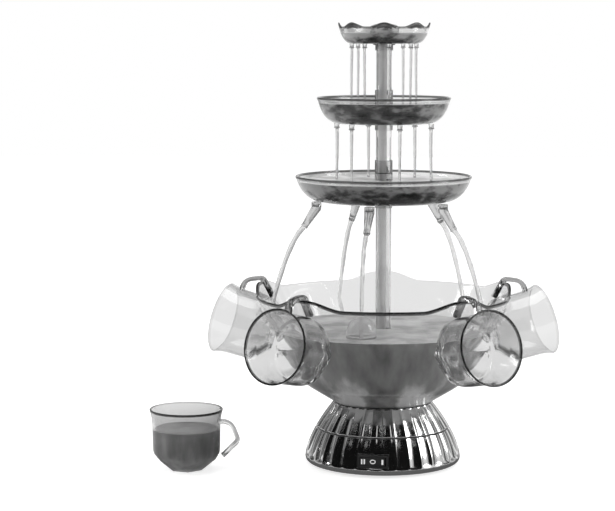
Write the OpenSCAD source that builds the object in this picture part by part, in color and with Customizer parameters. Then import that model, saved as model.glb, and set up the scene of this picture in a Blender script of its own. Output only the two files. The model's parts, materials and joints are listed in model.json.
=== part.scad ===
// Three-tier drinks fountain: fluted base, clear bowl with raised ears, tower of three tiers
// and cups that hook over the ears.
// Millimetres, +Z up. The origin is on the table under the middle of the base, and the front
// faces -Y. A bearing is an angle seen from above, counted from the front towards +X.

/* [Base] */
// Largest radius of the base
base_r = 94; // [88:1:102]
// Height of the widest ring above the table
belly_z = 8.5; // [7:0.5:11]
// Height of the edge on which the bowl sits
base_h = 77; // [72:1:84]
// Radius of the edge on which the bowl sits
seat_r = 59; // [54:1:64]
// Height of the seam between the two shells
seam_z = 45; // [42:1:50]
// Thickness of the shells behind the flutes
base_wall = 2.5; // [2:0.25:3.5]
// Number of flutes round the base
flute_count = 36; // [30:1:42]
// Depth of a flute
flute_depth = 1.6; // [0.8:0.1:2.2]
// Height of the rubber feet
foot_h = 2.2; // [1.5:0.1:4]
// Radius of a rubber foot
foot_r = 8; // [6:0.5:9]
// Distance of the feet's middles inside the base's lip
foot_inset = 20; // [16:1:26]
// Thickness of the bottom plate
plate_t = 2.5; // [2:0.25:3.5]
// Thickness of the deck that carries the motor and the bowl
deck_t = 3; // [2.5:0.25:4]
// Thickness of the deck's edge, which shows in the seam
seam_t = 1.2; // [0.8:0.1:1.6]

/* [Switch] */
// Bearing of the switch from the front
switch_bearing = -7; // [-20:1:20]
// Height of the switch's middle
switch_z = 20; // [18:1:26]
// Width of the switch's frame
switch_w = 36; // [32:1:38]
// Height of the switch's frame
switch_h = 15; // [13:0.5:18]
// Width of the frame's bars round the rocker
switch_bar = 2.4; // [2:0.1:3]

/* [Drive] */
// Radius of the motor
motor_r = 19; // [16:0.5:21]
// Length of the motor
motor_len = 28; // [24:1:32]
// Radius of the motor's shaft
shaft_r = 2.5; // [2:0.25:3]
// Radius of the impeller
impeller_r = 23; // [18:1:26]
// Number of blades on the impeller
blade_count = 6; // [4:1:8]
// Outer radius of the pump cover
pump_r = 32; // [30:1:36]
// Height of the pump cover above the bowl's floor
pump_h = 19; // [17:1:24]
// Number of intake slots in the pump cover
intake_count = 8; // [6:1:10]
// Number of lamps under the bowl
lamp_count = 8; // [4:1:12]

/* [Bowl] */
// Height of the rim between the ears
rim_z = 205; // [195:1:215]
// Outer radius of the rim between the ears
rim_r = 154.6; // [148:0.5:160]
// Height of an ear above the rim
ear_h = 10; // [6:0.5:14]
// Number of ears round the rim
ear_count = 5; // [5:1:7]
// Lean of the upper wall from the vertical
flare = 30; // [26:1:34]
// Height at which the straight upper wall starts
neck_z = 157; // [150:1:165]
// Thickness of the bowl
bowl_wall = 3; // [2.5:0.25:4]
// Slope of the bowl's lower cone
bowl_slope = 31.5; // [28:0.5:34]
// Radius of the bowl's flat underside
bowl_foot_r = 41; // [38:1:46]

/* [Tower] */
// Outer radius of the tubes
tube_r = 9.3; // [8:0.1:10.5]
// Thickness of the tubes
tube_wall = 1.8; // [1.4:0.1:2.4]
// Thickness of the sockets round the tubes
hub_wall = 1.3; // [1:0.1:2]
// Height of the low points of the top tier's rim
top_rim_z = 528; // [518:1:540]
// Rise from the middle tier's rim to the top tier's rim
top_rise = 85; // [78:1:95]
// Rise from the lower tier's rim to the middle tier's rim
middle_rise = 94; // [86:1:104]
// Radius of the lower tier's rim
lower_rim_r = 105.5; // [98:0.5:112]
// Depth of the lower tier
lower_depth = 29.4; // [26:0.2:33]
// Radius of the middle tier's rim
middle_rim_r = 79.8; // [74:0.2:86]
// Depth of the middle tier
middle_depth = 30; // [26:0.5:33]
// Radius of the top tier's rim
top_rim_r = 54.4; // [50:0.2:58]
// Depth of the top tier
top_depth = 20; // [17:0.5:24]
// Rise of the top tier's scallops
scallop_h = 5; // [2:0.5:7]
// Thickness of the tiers
tier_wall = 2; // [1.6:0.1:2.6]
// Distance of the swivel nozzles from the middle
nozzle_ring_r = 81; // [76:0.5:86]
// Angle of a swivel nozzle from the vertical
nozzle_lean = 33; // [28:1:42]
// Length of a swivel nozzle's spout
nozzle_len = 27.5; // [24:0.5:32]
// Number of spouts on the middle tier
middle_spouts = 6; // [4:1:8]
// Number of spouts and scallops on the top tier
top_spouts = 8; // [6:1:10]

/* [Cups] */
// Height of a cup
cup_h = 74; // [68:1:80]
// Outer radius of a cup's rim
cup_rim_r = 44; // [42:0.5:47]
// Outer radius of a cup's body
cup_r = 40.5; // [38:0.5:42]
// Thickness of a cup
cup_wall = 2.2; // [1.8:0.1:2.6]
// Distance from a cup's axis to the flats at its foot
cup_foot_r = 17; // [15:0.5:19]
// Number of flats round a cup's foot
flat_count = 6; // [5:1:8]
// Lean of a hanging cup's mouth above the horizontal
cup_tilt = 13; // [9:0.5:16]
// Width of a cup's hook handle
hook_w = 10; // [8:0.5:13]
// Thickness of a cup's hook handle
hook_t = 5.5; // [4.5:0.1:6.5]
// Distance from the foot along a flat to the hook's inner corner
hook_reach = 54.5; // [50:0.5:56]
// Distance from the foot along a flat to the hook's free end
hook_end = 30; // [26:0.5:36]
// Height of the hook's upper arm in the cup
arm_z = 57; // [53:0.5:60]
// Place of the standing cup to the right of the middle
standing_x = -235; // [-260:1:-225]
// Place of the standing cup behind the middle
standing_y = -49; // [-80:1:0]
// Turn of the standing cup, with its handle towards +X at zero
standing_turn = 10; // [-30:1:40]

/* [Fits] */
// Radial room of a shaft or swivel in its bore
run_fit = 0.06; // [0.03:0.01:0.1]
// Radial room of a tube or ring in its socket
push_fit = 0.1; // [0.05:0.01:0.2]
// Room between pieces that only lie near each other
clear = 0.4; // [0.3:0.05:0.6]

/* [Hidden] */
$fn = 96;

CLEAR_PLASTIC = [0.86, 0.88, 0.9, 0.35];
CHROME = [0.75, 0.75, 0.77];
BLACK = [0.06, 0.06, 0.07];
RUBBER = [0.12, 0.12, 0.12];
STEEL = [0.6, 0.6, 0.62];
BOARD_GREEN = [0.1, 0.35, 0.2];
LAMP_WHITE = [0.95, 0.95, 0.9];

// Base
dome_power = 1.62;
flute_steps = 4;
flute_start = 1;
flute_fade = 5;
lip_w = 4;
lip_r = base_r - 8;
skin = base_wall + flute_depth;
plate_z = foot_h;
plate_top = plate_z + plate_t;
plate_r = lip_r - lip_w - clear;
deck_under = seam_z - seam_t / 2;
deck_top = deck_under + deck_t;
deck_r = dome(deck_top) - skin - 1.5;
deck_edge_r = dome(seam_z) - flute_depth;
foot_ring_r = lip_r - foot_inset;
foot_count = 4;
foot_peg_r = 3;
vent_count = 12;
vent_w = 3;
vent_len = 20;
vent_inset = 18;
vent_ring_r = foot_ring_r - vent_inset;
screw_count = 4;
pillar_inset = 4;
pillar_ring_r = foot_ring_r - pillar_inset;
pillar_r = 5;
screw_r = 1.8;
screw_head_r = 3.6;
screw_head_h = 2;
bottom_screw_bite = 12;
screw_hole_spare = 3;
gasket_t = 1.3;
gasket_w = 3;
seat_gap = 0.1;

// Bowl
bowl_under = bowl_cone(bowl_foot_r);
bowl_floor = bowl_under + bowl_wall;
hip_run = 47.5;
hip_r = bowl_foot_r + hip_run;
neck_r = rim_r - (rim_z - neck_z) * tan(flare);
hip_pull = 28;
neck_pull = 26;
ear_r = rim_r + ear_h * tan(flare);
ear_z = rim_z + ear_h;
ear_flat = 8;
ear_fade = 50;
boss_drop = 8;
bowl_boss_ring_r = 28;
bowl_boss_r = 4.5;
bowl_screw_count = 3;
bowl_screw_r = 1.7;
seal_r = 7.5;
seal_boss_r = 10;
seal_h = 6;

// Drive
motor_top = deck_under;
motor_bottom = motor_top - motor_len;
motor_boss_r = 7;
motor_screw_ring_r = 13;
motor_screw_r = 1.5;
impeller_z = bowl_floor + 2;
impeller_disc_t = 1.5;
impeller_h = 11;
impeller_hub_r = shaft_r + 3.5;
shaft_top = impeller_z + impeller_disc_t + impeller_h;
pump_wall = 2.5;
pump_bevel = 3;
pump_top = bowl_floor + pump_h;
locating_ring_t = 2;
locating_ring_h = 4;
intake_w = 9;
intake_h = 6;
lamp_ring_r = bowl_boss_ring_r + 15;
lamp_r = 2.5;
board_t = 1.6;
board_w = 16;

// Tower
bore_r = tube_r - tube_wall;
socket_r = tube_r + push_fit;
hub_r = socket_r + hub_wall;
collar_hole_r = hub_r + push_fit;
collar_flange_w = 2.5;
collar_flange_t = 1.5;
seal_t = 1.2;
skirt_len = 8;
seat_rise = 4;
socket_depth = 16;
pump_socket = pump_top + seat_rise;
middle_rim_z = top_rim_z - top_rise;
lower_rim_z = middle_rim_z - middle_rise;
lower_floor = lower_rim_z - lower_depth;
middle_floor = middle_rim_z - middle_depth;
top_floor = top_rim_z - top_depth;
lower_hub_top = lower_rim_z + 20;
middle_hub_top = middle_rim_z + 10;
top_hub_top = top_rim_z - 6;
lower_sweep = 33.5;
middle_sweep = 27.8;
top_sweep = 16.4;
lower_floor_r = lower_rim_r - lower_sweep;
middle_floor_r = middle_rim_r - middle_sweep;
top_floor_r = top_rim_r - top_sweep;
rim_bead_r = 1.6;
middle_spout_inset = 22.2;
top_spout_inset = 15.4;
middle_spout_ring_r = middle_rim_r - middle_spout_inset;
top_spout_ring_r = top_rim_r - top_spout_inset;
middle_first_bearing = -41;
top_first_bearing = 9;
nozzle_first_bearing = -11.7;
nozzle_count = 5;
spigot_r = 4;
spigot_len = 6;
spigot_bore_r = 2.6;
nozzle_r = 6;
nozzle_drop = 7.5;
nozzle_tip_r = 3.8;
nozzle_bore_r = 2.2;
nozzle_bead_w = 0.5;
nozzle_bead_h = 2;

// Switch, in a frame turned so that it faces -Y
switch_front = dome(switch_z) + 1;
switch_flange_w = switch_w + 5;
switch_flange_h = switch_h + 4;
switch_shell_r = dome(switch_z + switch_flange_h / 2) - skin;
switch_back = sqrt(pow(switch_shell_r, 2) - pow(switch_flange_w / 2, 2)) - 2 * clear;
switch_pivot = switch_front - 4.5;
switch_flange = 2;
switch_body_len = 14;
cavity_w = switch_w - 2 * switch_bar;
cavity_h = switch_h - 2 * switch_bar;
cavity_back = switch_pivot - 5.5;
rocker_w = cavity_w - 2.6;
rocker_h = cavity_h - 2 * clear;
pivot_pin_r = 1.2;

// Cord gland at the back
gland_z = 16;
gland_r = 6;
gland_flange_r = 8.5;
gland_bore_r = 3.5;
gland_seat = dome(gland_z) - 1.8;
gland_inside = sqrt(pow(dome(gland_z + gland_flange_r) - skin, 2) - pow(gland_flange_r, 2)) - clear;

// Cups: a flat at the foot lies along the bowl's leaning wall, and the hook's free leg runs
// inside the wall. A place in the hook is given by its distance along the flat from the foot
// and its distance off the flat.
flat_angle = 90 - flare - cup_tilt;
leg_off = clear + bowl_wall + clear;
grip_lean = 21.5;
grip_angle = flat_angle + grip_lean;
hook_gap = 1.8;
cup_floor_t = 4;
ear_reach = hook_reach + (leg_off - clear) / tan(grip_angle) - hook_gap / sin(grip_angle);
cup_corner = [
    ear_r - ear_reach * sin(flare) + clear * cos(flare),
    ear_z - ear_reach * cos(flare) - clear * sin(flare)
];
cup_base = [cup_corner.x + cup_foot_r * sin(cup_tilt), cup_corner.y - cup_foot_r * cos(cup_tilt)];
ear_step = 360 / ear_count;

// Outer radius of the base's ridges at a height
function dome(z) =
    seat_r + (base_r - seat_r) * (1 - pow(max(0, (z - belly_z) / (base_h - belly_z)), dome_power));

// Height of the bowl's outer cone at a radius
function bowl_cone(r) = base_h + (r - seat_r) * tan(bowl_slope);

// Blend from 0 to 1 with level ends
function ease(t) = let (c = min(1, max(0, t))) c * c * (3 - 2 * c);

// Points of a curve pulled towards one or two control points
function curve3(a, b, c, n) =
    [for (i = [0:n]) let (t = i / n) (1 - t) * (1 - t) * a + 2 * t * (1 - t) * b + t * t * c];
function curve4(a, b, c, d, n) =
    [for (i = [0:n]) let (t = i / n, s = 1 - t) s*s*s*a + 3*s*s*t*b + 3*s*t*t*c + t*t*t*d];

// A chain of points moved sideways, to its left for a positive distance
function unit(v) = v / norm(v);
function left_of(v) = [-v.y, v.x];
function shifted(points, d) = [
    for (i = [0:len(points) - 1])
        let (
            before = points[max(0, i - 1)],
            after = points[min(len(points) - 1, i + 1)]
        )
        points[i] + d * left_of(unit(after - before))
];
function reversed(points) = [for (i = [len(points) - 1:-1:0]) points[i]];

// Solid turned from a closed loop of [radius, height, flute share], with flutes cut round it
module fluted(loop) {
    around = flute_count * flute_steps;
    rows = len(loop);
    hollow = [for (s = [0:flute_steps - 1]) 1 - pow(2 * s / flute_steps - 1, 2)];
    points = [
        for (i = [0:around - 1])
            for (p = loop)
                let (
                    a = 360 * i / around,
                    r = p[0] - flute_depth * p[2] * hollow[i % flute_steps]
                )
                [r * cos(a), r * sin(a), p[1]]
    ];
    faces = [
        for (i = [0:around - 1])
            for (j = [0:rows - 1])
                let (
                    i2 = (i + 1) % around,
                    j2 = (j + 1) % rows,
                    a = i * rows + j,
                    b = i2 * rows + j,
                    c = i2 * rows + j2,
                    d = i * rows + j2
                )
                each [[a, c, b], [a, d, c]]
    ];
    polyhedron(points, faces, convexity = 6);
}

// Copies round the axis, from a first bearing
module around(count, first = 0) {
    for (k = [0:count - 1]) {
        rotate([0, 0, first + 360 * k / count]) children();
    }
}

module ring(outer, inner, z0, z1) {
    translate([0, 0, z0]) {
        difference() {
            cylinder(r = outer, h = z1 - z0);
            translate([0, 0, -1]) cylinder(r = inner, h = z1 - z0 + 2);
        }
    }
}

// What lies above a level rim that rises to a rounded crest at each of several bearings
module above_rim(count, first, low, rise, level, fade, inner, outer) {
    steps = 10;
    sink = 5;
    dip = 0.2;
    right = [for (i = [0:steps]) level + (fade - level) * i / steps];
    edge = concat([for (x = reversed(right)) -x], level > 0 ? right : [for (i = [1:steps]) right[i]]);
    crest = [for (x = edge) [x, low - dip + (rise + dip) * (1 - ease((abs(x) - level) / (fade - level)))]];
    difference() {
        translate([0, 0, low]) cylinder(r = outer, h = rise + 30);
        around(count, first) {
            translate([0, -inner, 0]) {
                rotate([90, 0, 0]) {
                    linear_extrude(outer) {
                        polygon(concat([[-fade, low - sink]], crest, [[fade, low - sink]]));
                    }
                }
            }
        }
    }
}

function flute_share(z) = ease((z - belly_z - flute_start) / flute_fade);
function skin_row(z) = [dome(z), z, flute_share(z)];
function inner_row(z) = [dome(z) - skin, z, 0];

module base_lower_shell() {
    low = foot_h;
    top = seam_z - seam_t / 2;
    first = belly_z + flute_start;
    loop = concat(
        [[lip_r, low, 0], [base_r - 2.4, low + (belly_z - low) * 0.35, 0], [base_r, belly_z, 0]],
        [for (z = [first, first + flute_fade * 0.5, first + flute_fade]) skin_row(z)],
        [for (t = [1:3]) skin_row(first + flute_fade + (top - first - flute_fade) * t / 3)],
        [inner_row(top), inner_row((top + belly_z) / 2), inner_row(belly_z + 2)],
        [[lip_r - lip_w, plate_top + 1, 0], [lip_r - lip_w, low, 0]]
    );
    color(CHROME) {
        difference() {
            fluted(loop);
            rotate([0, 0, switch_bearing]) {
                translate([-switch_w / 2 - clear, -base_r - 5, switch_z - switch_h / 2 - clear]) {
                    cube([switch_w + 2 * clear, base_r - switch_back + 8, switch_h + 2 * clear]);
                }
            }
            translate([0, dome(gland_z) - 15, gland_z]) {
                rotate([-90, 0, 0]) cylinder(r = gland_r + push_fit, h = 30);
            }
            translate([0, gland_seat, gland_z]) {
                rotate([-90, 0, 0]) cylinder(r = gland_flange_r + clear, h = 15);
            }
        }
    }
}

module base_upper_shell() {
    low = seam_z + seam_t / 2;
    top = base_h - 2;
    edge_r = seat_r - gasket_w - 2 * seat_gap;
    under_gasket = gasket_t + 2 * seat_gap;
    under_bowl = bowl_cone(edge_r) - under_gasket;
    loop = concat(
        [for (t = [0:5]) skin_row(low + (top - low) * t / 5)],
        [[seat_r, bowl_cone(seat_r) - under_gasket, 0]],
        [[edge_r, under_bowl, 0], [edge_r, under_bowl - base_wall, 0]],
        [inner_row(under_bowl - base_wall - 3), inner_row((low + top) / 2), inner_row(low)]
    );
    color(CHROME) fluted(loop);
}

module deck() {
    color(BLACK) {
        difference() {
            union() {
                translate([0, 0, deck_under]) cylinder(r = deck_edge_r, h = seam_t);
                translate([0, 0, deck_under]) cylinder(r = deck_r, h = deck_t);
                around(screw_count) {
                    translate([0, -pillar_ring_r, plate_top]) {
                        cylinder(r = pillar_r, h = deck_under - plate_top + 1);
                    }
                }
                around(bowl_screw_count) {
                    translate([0, -bowl_boss_ring_r, deck_top - 1]) {
                        cylinder(r = bowl_boss_r + 1, h = bowl_under - boss_drop - deck_top + 1);
                    }
                }
            }
            translate([0, 0, deck_under - 1]) cylinder(r = motor_boss_r + push_fit, h = deck_t + 2);
            around(2, 90) {
                translate([0, -motor_screw_ring_r, deck_under - 1]) {
                    cylinder(r = motor_screw_r + push_fit, h = deck_t + 2);
                }
            }
            around(bowl_screw_count) {
                translate([0, -bowl_boss_ring_r, deck_under - 1]) {
                    cylinder(r = bowl_screw_r + push_fit, h = bowl_under - deck_under);
                }
            }
            around(screw_count) {
                translate([0, -pillar_ring_r, plate_top - 1]) {
                    cylinder(r = screw_r + push_fit, h = 1 + bottom_screw_bite + screw_hole_spare);
                }
            }
        }
    }
}

module bottom_plate() {
    color(BLACK) {
        difference() {
            translate([0, 0, plate_z]) cylinder(r = plate_r, h = plate_t);
            around(foot_count, 45) {
                translate([0, -foot_ring_r, plate_z - 1]) {
                    cylinder(r = foot_peg_r + push_fit, h = plate_t + 2);
                }
            }
            around(screw_count) {
                translate([0, -pillar_ring_r, plate_z - 1]) {
                    cylinder(r = screw_r + push_fit, h = plate_t + 2);
                }
            }
            around(vent_count, 15) {
                translate([-vent_w / 2, -vent_ring_r, plate_z - 1]) cube([vent_w, vent_len, plate_t + 2]);
            }
        }
    }
}

module rubber_feet() {
    color(RUBBER) {
        around(foot_count, 45) {
            translate([0, -foot_ring_r, 0]) {
                cylinder(r = foot_r, h = foot_h);
                cylinder(r = foot_peg_r, h = plate_top);
                translate([0, 0, plate_top]) cylinder(r1 = foot_peg_r + 1, r2 = foot_peg_r - 0.5, h = 2);
            }
        }
    }
}

// Pan-headed screw with its head under z = 0
module screw(r, head_r, head_h, length) {
    cylinder(r = r, h = length);
    translate([0, 0, -head_h]) cylinder(r1 = head_r * 0.75, r2 = head_r, h = head_h);
}

module bottom_screws() {
    color(STEEL) {
        around(screw_count) {
            translate([0, -pillar_ring_r, plate_z]) {
                screw(screw_r, screw_head_r, min(screw_head_h, foot_h - 0.5), plate_t + bottom_screw_bite);
            }
        }
    }
}

module bowl_screws() {
    color(STEEL) {
        around(bowl_screw_count) {
            translate([0, -bowl_boss_ring_r, deck_under]) {
                screw(bowl_screw_r, screw_head_r, screw_head_h, bowl_under - deck_under - 2);
            }
        }
    }
}

module motor_screws() {
    color(STEEL) {
        around(2, 90) {
            translate([0, -motor_screw_ring_r, deck_top]) {
                mirror([0, 0, 1]) screw(motor_screw_r, 3, screw_head_h, deck_t + 5);
            }
        }
    }
}

module facing_switch() {
    rotate([0, 0, switch_bearing]) translate([0, 0, switch_z]) children();
}

// Block centred on x = 0 and z = 0 between two distances in front of the middle
module front_block(w, h, front, back) {
    translate([-w / 2, -front, -h / 2]) cube([w, front - back, h]);
}

module switch_housing() {
    color(BLACK) {
        facing_switch() {
            difference() {
                union() {
                    front_block(switch_w, switch_h, switch_front, switch_back);
                    front_block(switch_flange_w, switch_flange_h, switch_back, switch_back - switch_flange);
                    front_block(cavity_w + 2, cavity_h + 2, switch_back, switch_back - switch_body_len);
                }
                front_block(cavity_w, cavity_h, switch_front + 1, cavity_back);
                translate([0, -switch_pivot, -cavity_h / 2 - switch_bar * 0.7]) {
                    cylinder(r = pivot_pin_r + run_fit, h = cavity_h + switch_bar * 1.4);
                }
            }
        }
    }
}

// Rocker with a shallow dip between its two ends, on a pin across its middle
module switch_rocker() {
    proud = switch_front + 1;
    half = rocker_w / 2;
    outline = [
        [-half, -proud], [-half * 0.5, -proud + 0.8], [0, -proud + 1.1], [half * 0.5, -proud + 0.8],
        [half, -proud], [half - 0.8, -switch_pivot + 2], [0, -switch_pivot + 3],
        [-half + 0.8, -switch_pivot + 2]
    ];
    color(BLACK) {
        facing_switch() {
            translate([0, 0, -rocker_h / 2]) linear_extrude(rocker_h) polygon(outline);
            translate([0, -switch_pivot, -cavity_h / 2 - switch_bar * 0.6]) {
                cylinder(r = pivot_pin_r, h = cavity_h + switch_bar * 1.2);
            }
        }
    }
}

// Rubber bush with a collar on each side of the shell
module cord_gland() {
    inside = gland_inside;
    outside = gland_seat + seat_gap;
    collar_t = 2.5;
    color(RUBBER) {
        translate([0, 0, gland_z]) {
            rotate([-90, 0, 0]) {
                difference() {
                    union() {
                        translate([0, 0, inside - 2]) cylinder(r = gland_r, h = outside - inside + 3);
                        translate([0, 0, inside - 2]) cylinder(r = gland_flange_r - 0.5, h = 2);
                        translate([0, 0, outside]) cylinder(r1 = gland_flange_r, r2 = gland_r, h = collar_t);
                    }
                    translate([0, 0, inside - 3]) cylinder(r = gland_bore_r, h = outside - inside + 8);
                }
            }
        }
    }
}

module motor() {
    terminal_w = 3;
    color(STEEL) {
        difference() {
            union() {
                translate([0, 0, motor_bottom]) cylinder(r = motor_r, h = motor_len);
                translate([0, 0, motor_top - 1]) cylinder(r = motor_boss_r, h = deck_t);
                translate([0, 0, motor_bottom - 2]) cylinder(r = motor_boss_r - 1, h = 3);
                around(2) {
                    translate([-terminal_w / 2, -motor_r * 0.7, motor_bottom - 4]) {
                        cube([terminal_w, 0.8, 5]);
                    }
                }
            }
            translate([0, 0, motor_bottom + 3]) cylinder(r = shaft_r + run_fit, h = motor_len + deck_t);
            around(2, 90) {
                translate([0, -motor_screw_ring_r, motor_top - 6]) {
                    cylinder(r = motor_screw_r + push_fit, h = 7);
                }
            }
        }
    }
}

module motor_shaft() {
    low = motor_bottom + 3 + clear;
    color(STEEL) translate([0, 0, low]) cylinder(r = shaft_r, h = shaft_top - low);
}

module lamp_board() {
    color(BOARD_GREEN) {
        ring(lamp_ring_r + board_w / 2, lamp_ring_r - board_w / 2, deck_top, deck_top + board_t);
    }
}

module lamps() {
    dome_line = [for (a = [0:15:90]) [lamp_r * cos(a), 3 + lamp_r * sin(a)]];
    color(LAMP_WHITE) {
        around(lamp_count, 180 / lamp_count) {
            translate([0, -lamp_ring_r, deck_top + board_t]) {
                rotate_extrude() polygon(concat([[0, 0], [lamp_r, 0]], dome_line));
            }
        }
    }
}

module bowl_gasket() {
    inner = seat_r - gasket_w;
    top = seat_gap;
    color(RUBBER) {
        rotate_extrude() {
            polygon([
                [inner, bowl_cone(inner) - top - gasket_t], [seat_r, bowl_cone(seat_r) - top - gasket_t],
                [seat_r, bowl_cone(seat_r) - top], [inner, bowl_cone(inner) - top]
            ]);
        }
    }
}

// Outside of the bowl from the edge of its flat underside to above the ears
bowl_outside = concat(
    [[bowl_foot_r, bowl_under]],
    curve4(
        [hip_r, bowl_cone(hip_r)],
        [hip_r, bowl_cone(hip_r)] + hip_pull * [cos(bowl_slope), sin(bowl_slope)],
        [neck_r, neck_z] - neck_pull * [sin(flare), cos(flare)],
        [neck_r, neck_z],
        10
    ),
    [[ear_r + 6 * tan(flare), ear_z + 6]]
);

module bowl() {
    inside = shifted(bowl_outside, bowl_wall);
    wall = concat(
        [[0, bowl_under]], bowl_outside, reversed([for (p = inside) if (p.y > bowl_floor + 1) p]),
        [[bowl_foot_r - 2, bowl_floor], [0, bowl_floor]]
    );
    pocket_z = bowl_under - boss_drop;
    color(CLEAR_PLASTIC) {
        difference() {
            union() {
                rotate_extrude() polygon(wall);
                ring(pump_r + clear + locating_ring_t, pump_r + clear, bowl_floor - 0.5,
                    bowl_floor + locating_ring_h);
                translate([0, 0, pocket_z]) cylinder(r = seal_boss_r, h = boss_drop + 1);
                around(bowl_screw_count) {
                    translate([0, -bowl_boss_ring_r, pocket_z]) {
                        cylinder(r = bowl_boss_r, h = boss_drop + 1);
                    }
                }
            }
            above_rim(ear_count, 180, rim_z, ear_h, ear_flat, ear_fade, rim_r * 0.76, rim_r * 1.3);
            translate([0, 0, pocket_z - 1]) cylinder(r = shaft_r + clear, h = 30);
            translate([0, 0, pocket_z - 1]) cylinder(r = seal_r, h = seal_h + 1);
            around(bowl_screw_count) {
                translate([0, -bowl_boss_ring_r, pocket_z - 1]) {
                    cylinder(r = bowl_screw_r + push_fit / 2, h = boss_drop);
                }
            }
        }
    }
}

module shaft_seal() {
    z0 = bowl_under - boss_drop;
    color(RUBBER) ring(seal_r - seat_gap, shaft_r + run_fit, z0, z0 + seal_h - seat_gap);
}

module impeller() {
    color(BLACK) {
        difference() {
            union() {
                translate([0, 0, impeller_z]) cylinder(r = impeller_r, h = impeller_disc_t);
                translate([0, 0, impeller_z]) {
                    cylinder(r = impeller_hub_r, h = impeller_disc_t + impeller_h);
                }
                around(blade_count) {
                    translate([-0.9, -impeller_r + 0.5, impeller_z + 0.5]) {
                        cube([1.8, impeller_r - shaft_r - 1.5, impeller_disc_t + impeller_h - 3]);
                    }
                }
            }
            translate([0, 0, impeller_z - 1]) cylinder(r = shaft_r, h = impeller_h + 10);
        }
    }
}

// Cap over the impeller, with slots that let drink in and a hole for the outlet
module pump_cover() {
    color(CLEAR_PLASTIC) {
        difference() {
            union() {
                translate([0, 0, bowl_floor]) cylinder(r = pump_r, h = pump_h - pump_bevel);
                translate([0, 0, pump_top - pump_bevel]) {
                    cylinder(r1 = pump_r, r2 = pump_r - pump_bevel, h = pump_bevel);
                }
            }
            translate([0, 0, bowl_floor - 1]) cylinder(r = pump_r - pump_wall, h = pump_h - pump_wall + 1);
            translate([0, 0, bowl_floor]) cylinder(r = collar_hole_r, h = pump_h + 1);
            around(intake_count, 180 / intake_count) {
                translate([-intake_w / 2, -pump_r - 1, bowl_floor + locating_ring_h + 1]) {
                    cube([intake_w, pump_wall + 6, intake_h]);
                }
            }
        }
    }
}

// Sleeve with a flange, bored for the drink, with sockets for a tube below and a tube above
module collar(low, high, flange_z, lower_seat, upper_seat) {
    color(CLEAR_PLASTIC) {
        difference() {
            union() {
                translate([0, 0, low]) cylinder(r = hub_r, h = high - low);
                translate([0, 0, flange_z]) cylinder(r = hub_r + collar_flange_w, h = collar_flange_t);
            }
            translate([0, 0, low - 1]) cylinder(r = bore_r, h = high - low + 2);
            if (lower_seat > low) {
                translate([0, 0, low - 1]) cylinder(r = socket_r, h = lower_seat - low + 1);
            }
            if (upper_seat < high) {
                translate([0, 0, upper_seat]) cylinder(r = socket_r, h = high - upper_seat + 1);
            }
        }
    }
}

module pump_outlet() {
    low = pump_top - pump_wall;
    collar(low, pump_socket + socket_depth, pump_top + seat_gap, low, pump_socket);
}

// Collar through a tier's floor, with its flange under the floor
module tier_collar(floor_z, top, upper_seat) {
    collar(floor_z - skirt_len, top, floor_z - seat_gap - collar_flange_t, floor_z + seat_rise, upper_seat);
}

module lower_collar() {
    tier_collar(lower_floor, lower_hub_top, lower_hub_top - socket_depth);
}

module middle_collar() {
    tier_collar(middle_floor, middle_hub_top, middle_hub_top - socket_depth);
}

module top_collar() {
    tier_collar(top_floor, top_hub_top, top_hub_top);
}

module tube(z0, z1) {
    color(CLEAR_PLASTIC) ring(tube_r, bore_r, z0, z1);
}

module lower_tube() {
    tube(pump_socket + seal_t, lower_floor + seat_rise - seal_t);
}

module middle_tube() {
    tube(lower_hub_top - socket_depth + seal_t, middle_floor + seat_rise - seal_t);
}

module upper_tube() {
    tube(middle_hub_top - socket_depth + seal_t, top_floor + seat_rise - seal_t);
}

module tube_seals() {
    seats = [
        pump_socket, lower_hub_top - socket_depth, middle_hub_top - socket_depth,
        lower_floor + seat_rise - seal_t, middle_floor + seat_rise - seal_t, top_floor + seat_rise - seal_t
    ];
    color(RUBBER) {
        for (z = seats) {
            ring(tube_r, bore_r, z, z + seal_t);
        }
    }
}

// Dish with a hole in its middle for a collar
module dish(rim_r, rim_z, floor_z, floor_r) {
    pull = [floor_r + (rim_r - floor_r) * 0.75, floor_z];
    outside = curve3([floor_r, floor_z], pull, [rim_r, rim_z], 10);
    inside = shifted(outside, tier_wall);
    rotate_extrude() {
        polygon(concat(
            [[collar_hole_r, floor_z]], outside, reversed(inside), [[collar_hole_r, floor_z + tier_wall]]
        ));
    }
}

module rim_bead(r, z) {
    rotate_extrude() translate([r - tier_wall / 2, z]) circle(r = rim_bead_r);
}

// Short spout under a tier's floor with a bead round its tip
module spout(r, length) {
    translate([0, 0, -length]) cylinder(r1 = r * 0.85, r2 = r * 1.1, h = length + 0.5);
    translate([0, 0, -length]) cylinder(r = r * 1.15, h = r * 0.5);
}

module lower_tier() {
    color(CLEAR_PLASTIC) {
        difference() {
            union() {
                dish(lower_rim_r, lower_rim_z, lower_floor, lower_floor_r);
                rim_bead(lower_rim_r, lower_rim_z);
                around(nozzle_count, nozzle_first_bearing) {
                    translate([0, -nozzle_ring_r, lower_floor - spigot_len]) {
                        cylinder(r = spigot_r, h = spigot_len + tier_wall);
                    }
                }
            }
            around(nozzle_count, nozzle_first_bearing) {
                translate([0, -nozzle_ring_r, lower_floor - spigot_len - 1]) {
                    cylinder(r = spigot_bore_r, h = spigot_len + lower_depth);
                }
            }
        }
    }
}

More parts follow.
